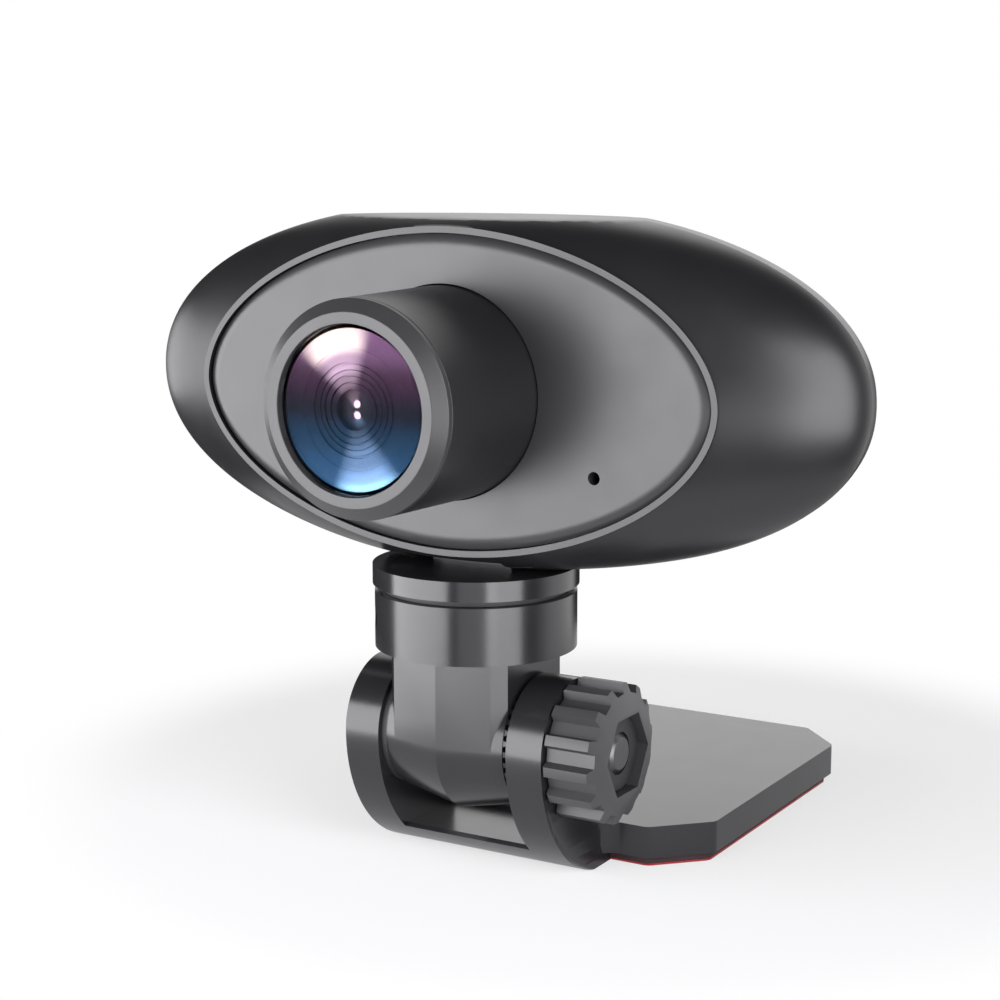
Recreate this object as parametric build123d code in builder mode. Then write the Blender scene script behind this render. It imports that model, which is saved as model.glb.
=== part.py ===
from build123d import *
from math import acos, asin, cos, degrees, hypot, pi, radians, sin, tan
import os

# A windscreen dash camera. Millimetres. +Z is up from the windscreen pad, -Y is
# the way the lens looks, and +X is the side with the clamping knob. The origin
# is the centre of the adhesive face. Places along Y that follow the camera are
# counted from the swivel axis, through the planes made below.

# ---------------------------------------------------------------- windscreen pad
liner_thickness = 0.2
foam_thickness = 0.8
pad_inset = 0.7
plate_width = 42.0
plate_length = 40.6
plate_thickness = 3.2
plate_corner = 5.0
plate_corner_radius = 1.2
plate_gap_to_swivel = 5.5

# ---------------------------------------------------------------------- tilt fork
pivot_height = 13.0
ear_radius = 6.6
ear_thickness = 3.8
ear_front_radius = 14.0
ear_rim_chamfer = 0.3
fork_gap = 14.3
fork_floor_height = 2.9
fork_foot_spread = 0.85
fork_foot_height = 8.0
fork_back = 7.4
foot_corner_radius = 0.8
toe_chamfer = 0.5
web_fillet = 2.0
glass_clearance = 0.05

# --------------------------------------------------------- knuckle, collar, swivel
knuckle_width = 13.0
knuckle_ridge_radius = 7.5
knuckle_side_radius = 6.15
knuckle_corner = 1.1
collar_radius = 9.8
collar_height = 5.5
neck_height = 8.8
swivel_radius = 10.0
swivel_thickness = 1.9
swivel_groove = 0.65
groove_radius = 9.0
spigot_radius = 6.0
spigot_length = 4.4
spigot_groove_depth = 0.7
spigot_groove_width = 1.6
small_chamfer = 0.2

# ------------------------------------------------------------------- face detents
tooth_count = 36
pawl_count = 12
tooth_height = 0.3
tooth_inner_radius = 4.2
tooth_outer_radius = 6.05
tooth_share = 0.62
tooth_flank = 20.0

# ---------------------------------------------------------------- bolt, nut, knob
bolt_radius = 1.97
bolt_head_flats = 7.0
bolt_head_height = 2.8
bolt_head_recess = 1.8
bolt_end_chamfer = 0.45
nut_flats = 7.0
nut_height = 3.2
hex_clearance = 0.15
washer_radius = 5.0
washer_thickness = 0.15
knob_radius = 6.75
knob_length = 5.5
knob_face_radius = 4.7
knob_cone_depth = 0.85
knob_flutes = 14
flute_depth = 0.9
flute_mouth = 2.3
flute_floor = 1.25
flute_turn = -6.5
nut_recess = 0.9
bolt_past_nut = 0.2

# ----------------------------------------------------------------- slide-on rail
rail_stem_width = 8.8
rail_flange_width = 12.0
rail_front = -0.8
rail_length = 9.8
rail_flange_thickness = 1.6
shoe_width = 16.0
shoe_height = 4.66
shoe_front = -3.0
slot_lip = 1.46
slot_width = 10.6
notch_height = 0.8

# ------------------------------------------------------------------ camera housing
underside_clearance = 0.29
lens_above_underside = 16.66
flat_above_lens = 15.94
body_half_width = 38.93
body_half_height = 17.32
rim_y = -6.0
waist_y = 2.2
front_depth = 13.36
rear_depth = 20.09
rear_share = 0.93
width_roundness = 1.78
front_height_roundness = 2.57
rear_height_roundness = 2.45
rim_roundness = 1.82
waist_roundness = 2.15
shell_wall = 1.3
rim_width = 0.6
panel_recess = 0.25
panel_thickness = 1.35
panel_edge_radius = 1.25
panel_flange = 1.2
boss_radius = 2.2
boss_x = 30.5
boss_z = 4.0
boss_front_hole = 0.8
screw_seat_y = 7.0
screw_head_radius = 1.9
screw_head_height = 1.3
screw_radius = 0.95
screw_tip_y = -1.0

# --------------------------------------------------------------------------- optics
glass_radius = 7.5
glass_thickness = 0.5
glass_dome = 0.25
bezel_face_width = 1.1
bezel_chamfer_width = 1.17
bezel_chamfer = 0.9
bezel_length = 1.5
bezel_spigot = 2.0
barrel_wall = 1.57
barrel_taper = 0.28
barrel_flange_width = 1.15
barrel_flange = 1.0
barrel_front_y = -21.4
cell_land = 0.35
cell_dish = 0.15
cell_step_share = 0.71
cell_step = 0.08
throat_share = 0.24
throat_depth = 0.6
element_radius = 3.6
inner_bulge = 1.4
inner_edge = 1.0
aperture_radius = 1.1
rear_group_depth = 8.45

# ---------------------------------------------------------------------- electronics
sensor_holder_size = 14.0
sensor_board_size = (22.0, 18.0)
sensor_size = (7.2, 5.4)
main_board_size = (46.0, 21.0)
main_board_y = 4.4
board_thickness = 1.2
port_board_width = 18.0
port_board_thickness = 1.0
socket_width = 9.0
socket_height = 3.2
socket_depth = 7.4
socket_wall = 0.3
card_width = 11.0
card_length = 15.0
card_thickness = 0.8
card_proud = 0.2
card_clearance = 0.15
card_socket_wall = 0.5
button_radius = 1.3
button_travel = 0.4
button_x = 7.8
button_z = -3.2
speaker_radius = 5.2
speaker_x = -19.0
speaker_y = 10.0
speaker_thickness = 3.0
sound_slot_length = 5.6
sound_slot_width = 0.7
sound_slot_pitch = 1.6
capacitor_radius = 3.4
capacitor_length = 11.0
microphone_x = 15.9
microphone_z = -6.75
microphone_hole_radius = 0.6

# ------------------------------------------------------------------------ clearances
running_clearance = 0.06
slide_clearance = 0.1
seam_clearance = 0.08
face_clearance = 0.05

os.makedirs("parts", exist_ok=True)

# Levels and places that follow from the sizes above.
plate_bottom = liner_thickness + foam_thickness
plate_top = plate_bottom + plate_thickness
swivel_y = -(plate_gap_to_swivel + plate_length / 2)
collar_bottom = pivot_height + neck_height
collar_top = collar_bottom + collar_height
swivel_bottom = collar_top + swivel_groove
swivel_top = swivel_bottom + swivel_thickness
underside = swivel_top + underside_clearance
lens_z = underside + lens_above_underside
ear_inner = fork_gap / 2
ear_outer = ear_inner + ear_thickness
knuckle_face = knuckle_width / 2
bolt_bore_radius = bolt_radius + running_clearance
knob_start = ear_outer + washer_thickness + face_clearance
knob_end = knob_start + knob_length
nut_end = knob_end - nut_recess
nut_start = nut_end - nut_height
bolt_end = nut_end + bolt_past_nut
rear_y = waist_y + rear_depth * rear_share
panel_front_y = rim_y + panel_recess
panel_step_y = panel_front_y + panel_thickness
panel_back_y = panel_step_y + panel_flange
glass_seat_y = barrel_front_y + glass_thickness + glass_dome
bezel_face_radius = glass_radius + bezel_face_width
barrel_front_radius = bezel_face_radius + bezel_chamfer_width
barrel_root_radius = barrel_front_radius + barrel_taper
barrel_bore_radius = barrel_front_radius - barrel_wall
barrel_flange_radius = barrel_root_radius + barrel_flange_width


def level(z):
    """Horizontal plane at height z, centred on the swivel axis."""
    return Plane(origin=(0, swivel_y, z), x_dir=(1, 0, 0), z_dir=(0, 0, 1))


def facing_front(y):
    """Upright plane through the lens axis, y behind the swivel axis, facing -Y."""
    return Plane(origin=(0, swivel_y + y, lens_z), x_dir=(1, 0, 0), z_dir=(0, -1, 0))


def across(x):
    """Upright plane at x, centred on the tilt pivot: local X runs along +Y."""
    return Plane(origin=(x, swivel_y, pivot_height), x_dir=(0, 1, 0), z_dir=(1, 0, 0))


pivot_axis = Axis((0, swivel_y, pivot_height), (1, 0, 0))
swivel_axis = Axis((0, swivel_y, 0), (0, 0, 1))
lens_axis = Axis((0, swivel_y, lens_z), (0, 1, 0))
pivot_plane = Plane(origin=(0, swivel_y, pivot_height), x_dir=(1, 0, 0), z_dir=(0, 0, 1))
swivel_plane = Plane(origin=(0, swivel_y, 0), x_dir=(1, 0, 0), z_dir=(0, -1, 0))
lens_plane = Plane(origin=(0, swivel_y, lens_z), x_dir=(1, 0, 0), z_dir=(0, 0, 1))


def finish(piece, name):
    """Name a finished piece and write it."""
    piece.part.label = name
    export_step(piece.part, f"parts/{name}.step")


# ---------------------------------------------------------------- windscreen pad


def pad_layer(name, inset, bottom, thickness):
    """One layer of the adhesive pad: the plate's outline, set in from its edge."""
    with BuildPart() as layer:
        with BuildSketch(Plane.XY.offset(bottom)):
            Rectangle(plate_width - 2 * inset, plate_length - 2 * inset)
            chamfer(vertices(), plate_corner - inset * (2 - 2**0.5))
            fillet(vertices(), plate_corner_radius)
        extrude(amount=thickness)
    finish(layer, name)


pad_layer("release_liner", pad_inset, 0, liner_thickness)
pad_layer("foam_tape", pad_inset, liner_thickness, foam_thickness)

# ------------------------------------------------------------------ fork bracket

floor_drop = pivot_height - glass_clearance
toe_angle = degrees(asin(floor_drop / ear_front_radius))
foot_start_angle = degrees(asin((pivot_height - fork_foot_height) / ear_front_radius))
foot_outer = ear_outer + fork_foot_spread
heel_y = plate_gap_to_swivel + pad_inset - 0.1
tooth_pitch = 360 / tooth_count


def detent_ring(face_x, direction, count):
    """Ring of radial teeth standing from a flat face at face_x."""
    half_width = tan(radians(tooth_pitch * tooth_share / 2))
    with BuildPart() as ring:
        with BuildSketch(across(face_x)):
            with PolarLocations(0, count):
                Polygon(
                    (tooth_inner_radius, -tooth_inner_radius * half_width),
                    (tooth_outer_radius, -tooth_outer_radius * half_width),
                    (tooth_outer_radius, tooth_outer_radius * half_width),
                    (tooth_inner_radius, tooth_inner_radius * half_width),
                    align=None,
                )
        extrude(amount=direction * tooth_height, taper=tooth_flank)
    return ring.part


# Below the ears the fork spreads into a foot with hollow sides and rounded front corners.
with BuildPart() as fork_foot:
    with BuildSketch(across(0)):
        with BuildLine():
            foot_toe = CenterArc(
                (ear_front_radius - ear_radius, 0),
                ear_front_radius,
                180 + foot_start_angle,
                toe_angle - foot_start_angle,
            )
            Polyline(
                foot_toe @ 1,
                (heel_y, -floor_drop),
                (heel_y, plate_bottom - pivot_height),
                (fork_back, plate_bottom - pivot_height),
                (fork_back, fork_foot_height - pivot_height),
                foot_toe @ 0,
            )
        make_face()
    extrude(amount=foot_outer, both=True)
    with BuildSketch(swivel_plane):
        with BuildLine():
            foot = ThreePointArc(
                (ear_outer - ear_rim_chamfer, fork_foot_height),
                (ear_outer + fork_foot_spread * 0.25, fork_foot_height / 2),
                (foot_outer, 0),
            )
            far_foot = ThreePointArc(
                (-ear_outer + ear_rim_chamfer, fork_foot_height),
                (-ear_outer - fork_foot_spread * 0.25, fork_foot_height / 2),
                (-foot_outer, 0),
            )
            Line(foot @ 0, far_foot @ 0)
            Line(foot @ 1, far_foot @ 1)
        make_face()
    extrude(amount=2 * ear_front_radius, both=True, mode=Mode.INTERSECT)
    front_face = faces().sort_by(lambda face: face.center().Y)[0]
    side_edges = front_face.edges().sort_by(Axis.X)
    fillet([side_edges[0], side_edges[-1]], foot_corner_radius)

with BuildPart() as fork_bracket:
    with BuildSketch(across(0)):
        with BuildLine():
            crown = CenterArc((0, 0), ear_radius, 0, 180)
            toe = CenterArc((ear_front_radius - ear_radius, 0), ear_front_radius, 180, toe_angle)
            Polyline(
                toe @ 1,
                (heel_y, -floor_drop),
                (heel_y, plate_bottom - pivot_height),
                (fork_back, plate_bottom - pivot_height),
                (fork_back, plate_top - pivot_height),
                crown @ 0,
            )
        make_face()
    extrude(amount=ear_outer, both=True)
    side_faces = faces().filter_by(Axis.X)
    chamfer(side_faces.edges().filter_by(GeomType.CIRCLE), ear_rim_chamfer)
    add(fork_foot.part)
    # The plate joins the foot of the fork with a hollow corner on each side.
    with BuildSketch(Plane.XY.offset(plate_bottom)):
        with BuildSketch(Plane.XY, mode=Mode.PRIVATE) as outline:
            Rectangle(plate_width, plate_length)
            chamfer(vertices(), plate_corner)
            fillet(vertices(), plate_corner_radius)
        add(outline.sketch)
        web_y = plate_gap_to_swivel - 1.5 * web_fillet
        web_outer = ear_outer + fork_foot_spread * 0.25
        with Locations((0, swivel_y + (web_y + fork_back) / 2)):
            Rectangle(2 * web_outer, fork_back - web_y)
        inner_corners = (
            vertices()
            .filter_by(lambda v: abs(v.Y + plate_length / 2) < 0.01)
            .filter_by(lambda v: abs(abs(v.X) - web_outer) < 0.01)
        )
        fillet(inner_corners, web_fillet)
    extrude(amount=plate_thickness)
    # The gap between the ears, down to the floor of the fork.
    with BuildSketch(across(0)):
        with BuildLine():
            Polyline(
                (-2 * ear_radius, 2 * ear_radius),
                (-2 * ear_radius, fork_floor_height - pivot_height),
                (fork_back + 0.5, fork_floor_height - pivot_height),
                (fork_back + 0.5, 2 * ear_radius),
                close=True,
            )
        make_face()
    extrude(amount=ear_inner, both=True, mode=Mode.SUBTRACT)
    floor_edges = edges().filter_by(Axis.X)
    floor_edges = floor_edges.filter_by_position(
        Axis.Z, fork_floor_height - 0.01, fork_floor_height + 0.01
    )
    chamfer(floor_edges.sort_by(Axis.Y)[0], toe_chamfer)
    # Bolt bore, and a hexagonal seat for the bolt's head in the far ear.
    with BuildSketch(across(-ear_outer)):
        Circle(bolt_bore_radius)
    extrude(amount=2 * ear_outer, mode=Mode.SUBTRACT)
    with BuildSketch(across(-ear_outer)):
        RegularPolygon(bolt_head_flats / 2 + hex_clearance, 6, major_radius=False)
    extrude(amount=bolt_head_recess, mode=Mode.SUBTRACT)
    # Every third tooth only, which still catches in each of the knuckle's places.
    add(detent_ring(ear_inner, -1, pawl_count))
finish(fork_bracket, "fork_bracket")

# -------------------------------------------------------------------- tilt pivot

with BuildPart() as pivot_bolt:
    with BuildSketch(across(-ear_outer + bolt_head_recess - bolt_head_height)):
        RegularPolygon(bolt_head_flats / 2, 6, major_radius=False)
    extrude(amount=bolt_head_height)
    with BuildSketch(across(-ear_outer + bolt_head_recess)):
        Circle(bolt_radius)
    extrude(amount=bolt_end + ear_outer - bolt_head_recess)
    chamfer(faces().sort_by(Axis.X)[-1].edges(), bolt_end_chamfer)
finish(pivot_bolt, "pivot_bolt")

with BuildPart() as pivot_washer:
    with BuildSketch(across(-ear_inner)):
        Circle(tooth_outer_radius)
        Circle(bolt_bore_radius, mode=Mode.SUBTRACT)
    extrude(amount=ear_inner - knuckle_face - face_clearance)
finish(pivot_washer, "pivot_washer")

with BuildPart() as knob_washer:
    with BuildSketch(across(ear_outer)):
        Circle(washer_radius)
        Circle(bolt_bore_radius, mode=Mode.SUBTRACT)
    extrude(amount=washer_thickness)
finish(knob_washer, "knob_washer")

with BuildPart() as knob:
    with BuildSketch(across(knob_start)):
        Circle(knob_radius)
        with PolarLocations(knob_radius - flute_depth, knob_flutes, start_angle=flute_turn):
            Polygon(
                (0, -flute_floor / 2),
                (flute_depth * 1.2, -flute_mouth / 2),
                (flute_depth * 1.2, flute_mouth / 2),
                (0, flute_floor / 2),
                align=None,
                mode=Mode.SUBTRACT,
            )
    extrude(amount=knob_length)
    with BuildSketch(pivot_plane):
        Polygon(
            (knob_start, 0),
            (knob_start, knob_radius),
            (knob_end - knob_cone_depth, knob_radius),
            (knob_end, knob_face_radius),
            (knob_end, 0),
            align=None,
        )
    revolve(axis=pivot_axis, mode=Mode.INTERSECT)
    with BuildSketch(across(nut_start)):
        RegularPolygon(nut_flats / 2 + hex_clearance, 6, major_radius=False)
    extrude(amount=knob_length, mode=Mode.SUBTRACT)
    with BuildSketch(across(knob_start)):
        Circle(bolt_bore_radius + slide_clearance)
    extrude(amount=knob_length, mode=Mode.SUBTRACT)
finish(knob, "knob")

with BuildPart() as knob_nut:
    with BuildSketch(across(nut_start)):
        RegularPolygon(nut_flats / 2, 6, major_radius=False)
        Circle(bolt_bore_radius, mode=Mode.SUBTRACT)
    extrude(amount=nut_height)
finish(knob_nut, "knob_nut")

# ------------------------------------------------------------- knuckle and collar

set_screw_direction = (-0.8, -0.6, 0)
set_screw_radius = 1.25
set_screw_tip_radius = 0.6
set_screw_height = swivel_bottom - spigot_length + 1.2
set_screw_outer = collar_radius - 1.0
groove_floor = spigot_radius - spigot_groove_depth


def set_screw_plane(distance):
    """Plane across the set screw, this far out from the swivel axis."""
    x, y, z = set_screw_direction
    origin = (x * distance, swivel_y + y * distance, set_screw_height)
    return Plane(origin=origin, x_dir=(0, 0, 1), z_dir=set_screw_direction)


with BuildPart() as knuckle_collar:
    # Below the pivot the shallow ridge of the neck is turned about the bolt.
    with BuildSketch(pivot_plane):
        Polygon(
            (-knuckle_face, 0),
            (-knuckle_face, knuckle_side_radius),
            (0, knuckle_ridge_radius),
            (knuckle_face, knuckle_side_radius),
            (knuckle_face, 0),
            align=None,
        )
    revolve(axis=pivot_axis)
    # Above it the same ridge runs straight up to the collar.
    with BuildSketch(level(pivot_height)):
        corner_slope = (knuckle_ridge_radius - knuckle_side_radius) / knuckle_face
        corner_y = knuckle_side_radius + corner_slope * knuckle_corner
        with BuildLine():
            Polyline(
                (0, -knuckle_ridge_radius),
                (knuckle_face - knuckle_corner, -corner_y),
                (knuckle_face, -knuckle_side_radius + knuckle_corner),
                (knuckle_face, knuckle_side_radius - knuckle_corner),
                (knuckle_face - knuckle_corner, corner_y),
                (0, knuckle_ridge_radius),
            )
            mirror(about=Plane.YZ)
        make_face()
    extrude(amount=neck_height)
    with BuildSketch(level(collar_bottom)):
        Circle(collar_radius)
    extrude(amount=collar_height)
    chamfer(edges().filter_by(GeomType.CIRCLE).group_by(Axis.Z)[-1], small_chamfer)
    with BuildSketch(level(collar_top)):
        Circle(spigot_radius + running_clearance)
    extrude(amount=-(spigot_length - swivel_groove + slide_clearance), mode=Mode.SUBTRACT)
    with BuildSketch(set_screw_plane(0)):
        Circle(set_screw_radius)
    extrude(amount=collar_radius + 1, mode=Mode.SUBTRACT)
    with BuildSketch(across(-knuckle_face)):
        Circle(bolt_bore_radius)
    extrude(amount=knuckle_width, mode=Mode.SUBTRACT)
    add(detent_ring(knuckle_face, 1, tooth_count))
finish(knuckle_collar, "knuckle_collar")

with BuildPart() as set_screw:
    with BuildSketch(set_screw_plane(spigot_radius + 2 * running_clearance)):
        Circle(set_screw_radius - seam_clearance)
    extrude(amount=set_screw_outer - spigot_radius - 2 * running_clearance)
    with BuildSketch(set_screw_plane(groove_floor + slide_clearance)):
        Circle(set_screw_tip_radius)
    extrude(amount=spigot_groove_depth + running_clearance)
    with BuildSketch(set_screw_plane(set_screw_outer)):
        RegularPolygon(0.75, 6, major_radius=False)
    extrude(amount=-1.0, mode=Mode.SUBTRACT)
finish(set_screw, "set_screw")

with BuildPart() as swivel_washer:
    with BuildSketch(level(collar_top)):
        Circle(groove_radius)
        Circle(spigot_radius + slide_clearance, mode=Mode.SUBTRACT)
    extrude(amount=swivel_groove - face_clearance)
finish(swivel_washer, "swivel_washer")

# --------------------------------------------------------------- swivel with rail

flange_bottom = underside + slot_lip + slide_clearance
flange_top = flange_bottom + rail_flange_thickness
rail_middle = rail_front + rail_length / 2

with BuildPart() as swivel_disc:
    with BuildSketch(swivel_plane):
        groove_low = set_screw_height - spigot_groove_width / 2
        groove_high = set_screw_height + spigot_groove_width / 2
        Polygon(
            (0, swivel_bottom - spigot_length),
            (spigot_radius, swivel_bottom - spigot_length),
            (spigot_radius, groove_low),
            (groove_floor, groove_low),
            (groove_floor, groove_high),
            (spigot_radius, groove_high),
            (spigot_radius, swivel_bottom),
            (swivel_radius - small_chamfer, swivel_bottom),
            (swivel_radius, swivel_bottom + small_chamfer),
            (swivel_radius, swivel_top - small_chamfer),
            (swivel_radius - small_chamfer, swivel_top),
            (0, swivel_top),
            align=None,
        )
    revolve(axis=swivel_axis)
    with BuildSketch(level(swivel_top)):
        with Locations((0, rail_middle)):
            Rectangle(rail_stem_width, rail_length)
    extrude(amount=flange_bottom - swivel_top)
    with BuildSketch(level(flange_bottom)):
        with Locations((0, rail_middle)):
            Rectangle(rail_flange_width, rail_length)
            chamfer(vertices(), small_chamfer * 2)
    extrude(amount=rail_flange_thickness)
finish(swivel_disc, "swivel_disc")

# ---------------------------------------------------------------- camera housing


def half_sizes(y, inset):
    """Half width and half height of the body at y, its skin moved in by inset."""
    if y <= waist_y:
        reach = (waist_y - y) / front_depth
        roundness = front_height_roundness
        width = body_half_width
        height = body_half_height
    else:
        reach = (y - waist_y) / (rear_depth - inset)
        roundness = rear_height_roundness
        width = body_half_width
        height = body_half_height
    half_width = width * (1 - reach**width_roundness) ** (1 / width_roundness)
    half_height = height * (1 - reach**roundness) ** (1 / roundness)
    return half_width - inset, half_height - inset


def section_roundness(y):
    """The eye shape: pointed at the rim and at the back, fuller at the waist."""
    if y <= waist_y:
        blend = (waist_y - y) / (waist_y - rim_y)
        return waist_roundness + (rim_roundness - waist_roundness) * blend
    return waist_roundness + (2 - waist_roundness) * (y - waist_y) / rear_depth


def eye_outline(half_width, half_height, roundness):
    """Closed eye-shaped curve, drawn as a spline, for the sketch in hand."""
    points = []
    point_count = 24
    for step in range(point_count):
        angle = 2 * pi * step / point_count
        along = abs(cos(angle)) ** (2 / roundness) * half_width
        up = abs(sin(angle)) ** (2 / roundness) * half_height
        points.append((along if cos(angle) > 0 else -along, up if sin(angle) > 0 else -up))
    Spline(*points, periodic=True)


def head_form(inset):
    """The whole eye-shaped body, cut flat above and below, its skin moved in."""
    last = rear_y - inset
    stations = [rim_y, -4.2, -1.6, waist_y, 6.0, 9.8, 13.4, 16.6, 19.0, last]
    with BuildPart() as form:
        for y in stations:
            with BuildSketch(facing_front(y)):
                with BuildLine():
                    eye_outline(*half_sizes(y, inset), section_roundness(y))
                make_face()
        loft()
        flat_height = lens_above_underside + flat_above_lens - 2 * inset
        middle = (flat_above_lens - lens_above_underside) / 2
        with Locations((0, swivel_y + (rim_y + rear_y) / 2, lens_z + middle)):
            Box(3 * body_half_width, 3 * rear_depth, flat_height, mode=Mode.INTERSECT)
    return form.part


outer_form = head_form(0)
inner_form = head_form(shell_wall)
waist_plane = Plane(origin=(0, swivel_y + waist_y, 0), z_dir=(0, 1, 0))
boss_places = [(x, z) for x in (-boss_x, boss_x) for z in (-boss_z, boss_z)]
shoe_top = underside + shoe_height


def shoe_block(clearance):
    """Block that the rail slides into, through the bottom of both shells."""
    front = shoe_front - clearance
    with BuildPart() as block_piece:
        with BuildSketch(level(underside - 1)):
            with Locations((0, (front + rear_depth) / 2)):
                Rectangle(shoe_width + 2 * clearance, rear_depth - front)
        extrude(amount=shoe_height + 1 + clearance)
    return block_piece.part


shoe_room = shoe_block(seam_clearance)

# The slot for the rail's stem opens forwards through a notch under the front shell.
with BuildPart() as slot_notch:
    with BuildSketch(level(underside - 1)):
        with Locations((0, rim_y / 2)):
            Rectangle(slot_width, -rim_y)
    extrude(amount=1 + notch_height)

with BuildPart() as front_shell:
    add(inner_form)
    with BuildSketch(facing_front(waist_y)):
        with Locations(*boss_places):
            Circle(boss_radius)
    extrude(amount=waist_y - rim_y, mode=Mode.SUBTRACT)
    hollow = front_shell.part
with BuildPart() as front_shell:
    add(outer_form)
    add(hollow, mode=Mode.SUBTRACT)
    split(bisect_by=waist_plane, keep=Keep.BOTTOM)
    with BuildSketch(facing_front(waist_y)):
        with Locations(*boss_places):
            Circle(boss_front_hole)
    extrude(amount=waist_y - screw_tip_y + 0.5, mode=Mode.SUBTRACT)
    add(shoe_room, mode=Mode.SUBTRACT)
    add(slot_notch.part, mode=Mode.SUBTRACT)
    # A rabbet inside the rim lets the panel reach to the narrow front edge.
    with BuildSketch(facing_front(rim_y - 1)):
        with BuildLine():
            eye_outline(*half_sizes(rim_y, rim_width), rim_roundness)
        make_face()
    extrude(amount=-(1 + panel_recess + panel_thickness), mode=Mode.SUBTRACT)
finish(front_shell, "front_shell")

card_slot_z = port_board_thickness / 2 + card_socket_wall + card_clearance + card_thickness / 2
socket_z = -(port_board_thickness + socket_height) / 2
inner_back_y = rear_y - shell_wall

with BuildPart() as rear_hollow:
    add(inner_form)
    with BuildSketch(facing_front(waist_y)):
        with Locations(*boss_places):
            Circle(boss_radius + 0.6)
    extrude(amount=-rear_depth, mode=Mode.SUBTRACT)
    with BuildSketch(facing_front(speaker_y)):
        with Locations((speaker_x, 0)):
            Circle(speaker_radius + 1.1)
            Circle(speaker_radius + slide_clearance, mode=Mode.SUBTRACT)
    extrude(amount=-rear_depth, mode=Mode.SUBTRACT)

with BuildPart() as rear_cover:
    add(outer_form)
    add(rear_hollow.part, mode=Mode.SUBTRACT)
    split(bisect_by=waist_plane, keep=Keep.TOP)
    with BuildSketch(facing_front(waist_y)):
        with Locations(*boss_places):
            Circle(screw_radius + slide_clearance)
    extrude(amount=-rear_depth, mode=Mode.SUBTRACT)
    with BuildSketch(facing_front(screw_seat_y)):
        with Locations(*boss_places):
            Circle(screw_head_radius + slide_clearance)
    extrude(amount=-rear_depth, mode=Mode.SUBTRACT)
    # Openings in the flat back: memory card, power socket, reset button.
    with BuildSketch(facing_front(inner_back_y - 1)):
        with Locations((0, card_slot_z)):
            Rectangle(card_width + 2 * card_clearance, card_thickness + 2 * card_clearance)
        with Locations((0, socket_z)):
            Rectangle(socket_width + 2 * slide_clearance, socket_height + 2 * slide_clearance)
        with Locations((button_x, button_z)):
            Circle(button_radius + slide_clearance)
    extrude(amount=-(shell_wall + 3), mode=Mode.SUBTRACT)
    # Sound slots over the speaker.
    with BuildSketch(facing_front(waist_y)):
        with Locations(*[(speaker_x, slot * sound_slot_pitch) for slot in (-1.5, -0.5, 0.5, 1.5)]):
            Rectangle(sound_slot_length, sound_slot_width)
    extrude(amount=-rear_depth, mode=Mode.SUBTRACT)
    add(shoe_room, mode=Mode.SUBTRACT)
finish(rear_cover, "rear_cover")

with BuildPart() as rail_shoe:
    add(shoe_block(0))
    add(outer_form, mode=Mode.INTERSECT)
    slot_front = rail_front - slide_clearance
    with BuildSketch(level(underside - 1)):
        with Locations((0, (slot_front + 2 * rear_depth) / 2)):
            Rectangle(slot_width, 2 * rear_depth - slot_front)
    extrude(amount=slot_lip + 2, mode=Mode.SUBTRACT)
    add(slot_notch.part, mode=Mode.SUBTRACT)
    with BuildSketch(level(underside + slot_lip)):
        with Locations((0, (slot_front + 2 * rear_depth) / 2)):
            Rectangle(rail_flange_width + 2 * slide_clearance, 2 * rear_depth - slot_front)
    extrude(amount=rail_flange_thickness + 2 * slide_clearance, mode=Mode.SUBTRACT)
finish(rail_shoe, "rail_shoe")

with BuildPart() as front_panel:
    # A flange behind the panel, held between the two shells.
    flange_width, flange_height = half_sizes(panel_step_y, shell_wall + seam_clearance)
    with BuildSketch(facing_front(panel_step_y)):
        with BuildLine():
            eye_outline(flange_width, flange_height, section_roundness(panel_step_y))
        make_face()
    extrude(amount=-panel_flange)
    inner_flat_height = flat_above_lens + lens_above_underside - 2 * (shell_wall + seam_clearance)
    flat_middle = lens_z + (flat_above_lens - lens_above_underside) / 2
    with Locations((0, swivel_y + panel_step_y, flat_middle)):
        Box(3 * body_half_width, rear_depth, inner_flat_height, mode=Mode.INTERSECT)
    # The panel itself, with its rounded front edge.
    panel_width, panel_height = half_sizes(rim_y, rim_width + seam_clearance)
    with BuildSketch(facing_front(panel_step_y)):
        with BuildLine():
            eye_outline(panel_width, panel_height, rim_roundness)
        make_face()
    extrude(amount=panel_thickness)
    fillet(faces().sort_by(Axis.Y)[0].edges(), panel_edge_radius)
    with BuildSketch(facing_front(panel_back_y)):
        Circle(barrel_root_radius + seam_clearance)
        with Locations((microphone_x, microphone_z)):
            Circle(microphone_hole_radius)
        with Locations(*boss_places):
            Circle(boss_radius + slide_clearance)
    extrude(amount=2 * panel_thickness + panel_flange, mode=Mode.SUBTRACT)
finish(front_panel, "front_panel")

with BuildPart() as case_screws:
    with BuildSketch(facing_front(screw_seat_y)):
        with Locations(*boss_places):
            Circle(screw_radius)
    extrude(amount=screw_seat_y - waist_y)
    with BuildSketch(facing_front(waist_y)):
        with Locations(*boss_places):
            Circle(boss_front_hole)
    extrude(amount=waist_y - screw_tip_y)
    with BuildSketch(facing_front(screw_seat_y + screw_head_height)):
        with Locations(*boss_places):
            Circle(screw_head_radius)
    extrude(amount=screw_head_height)
finish(case_screws, "case_screws")

# --------------------------------------------------------------------------- optics


def turned(name, *profile):
    """A piece turned about the lens axis, from (radius, y) points."""
    with BuildPart() as piece:
        with BuildSketch(lens_plane):
            Polygon(*profile, align=None)
        revolve(axis=lens_axis)
    finish(piece, name)


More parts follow.
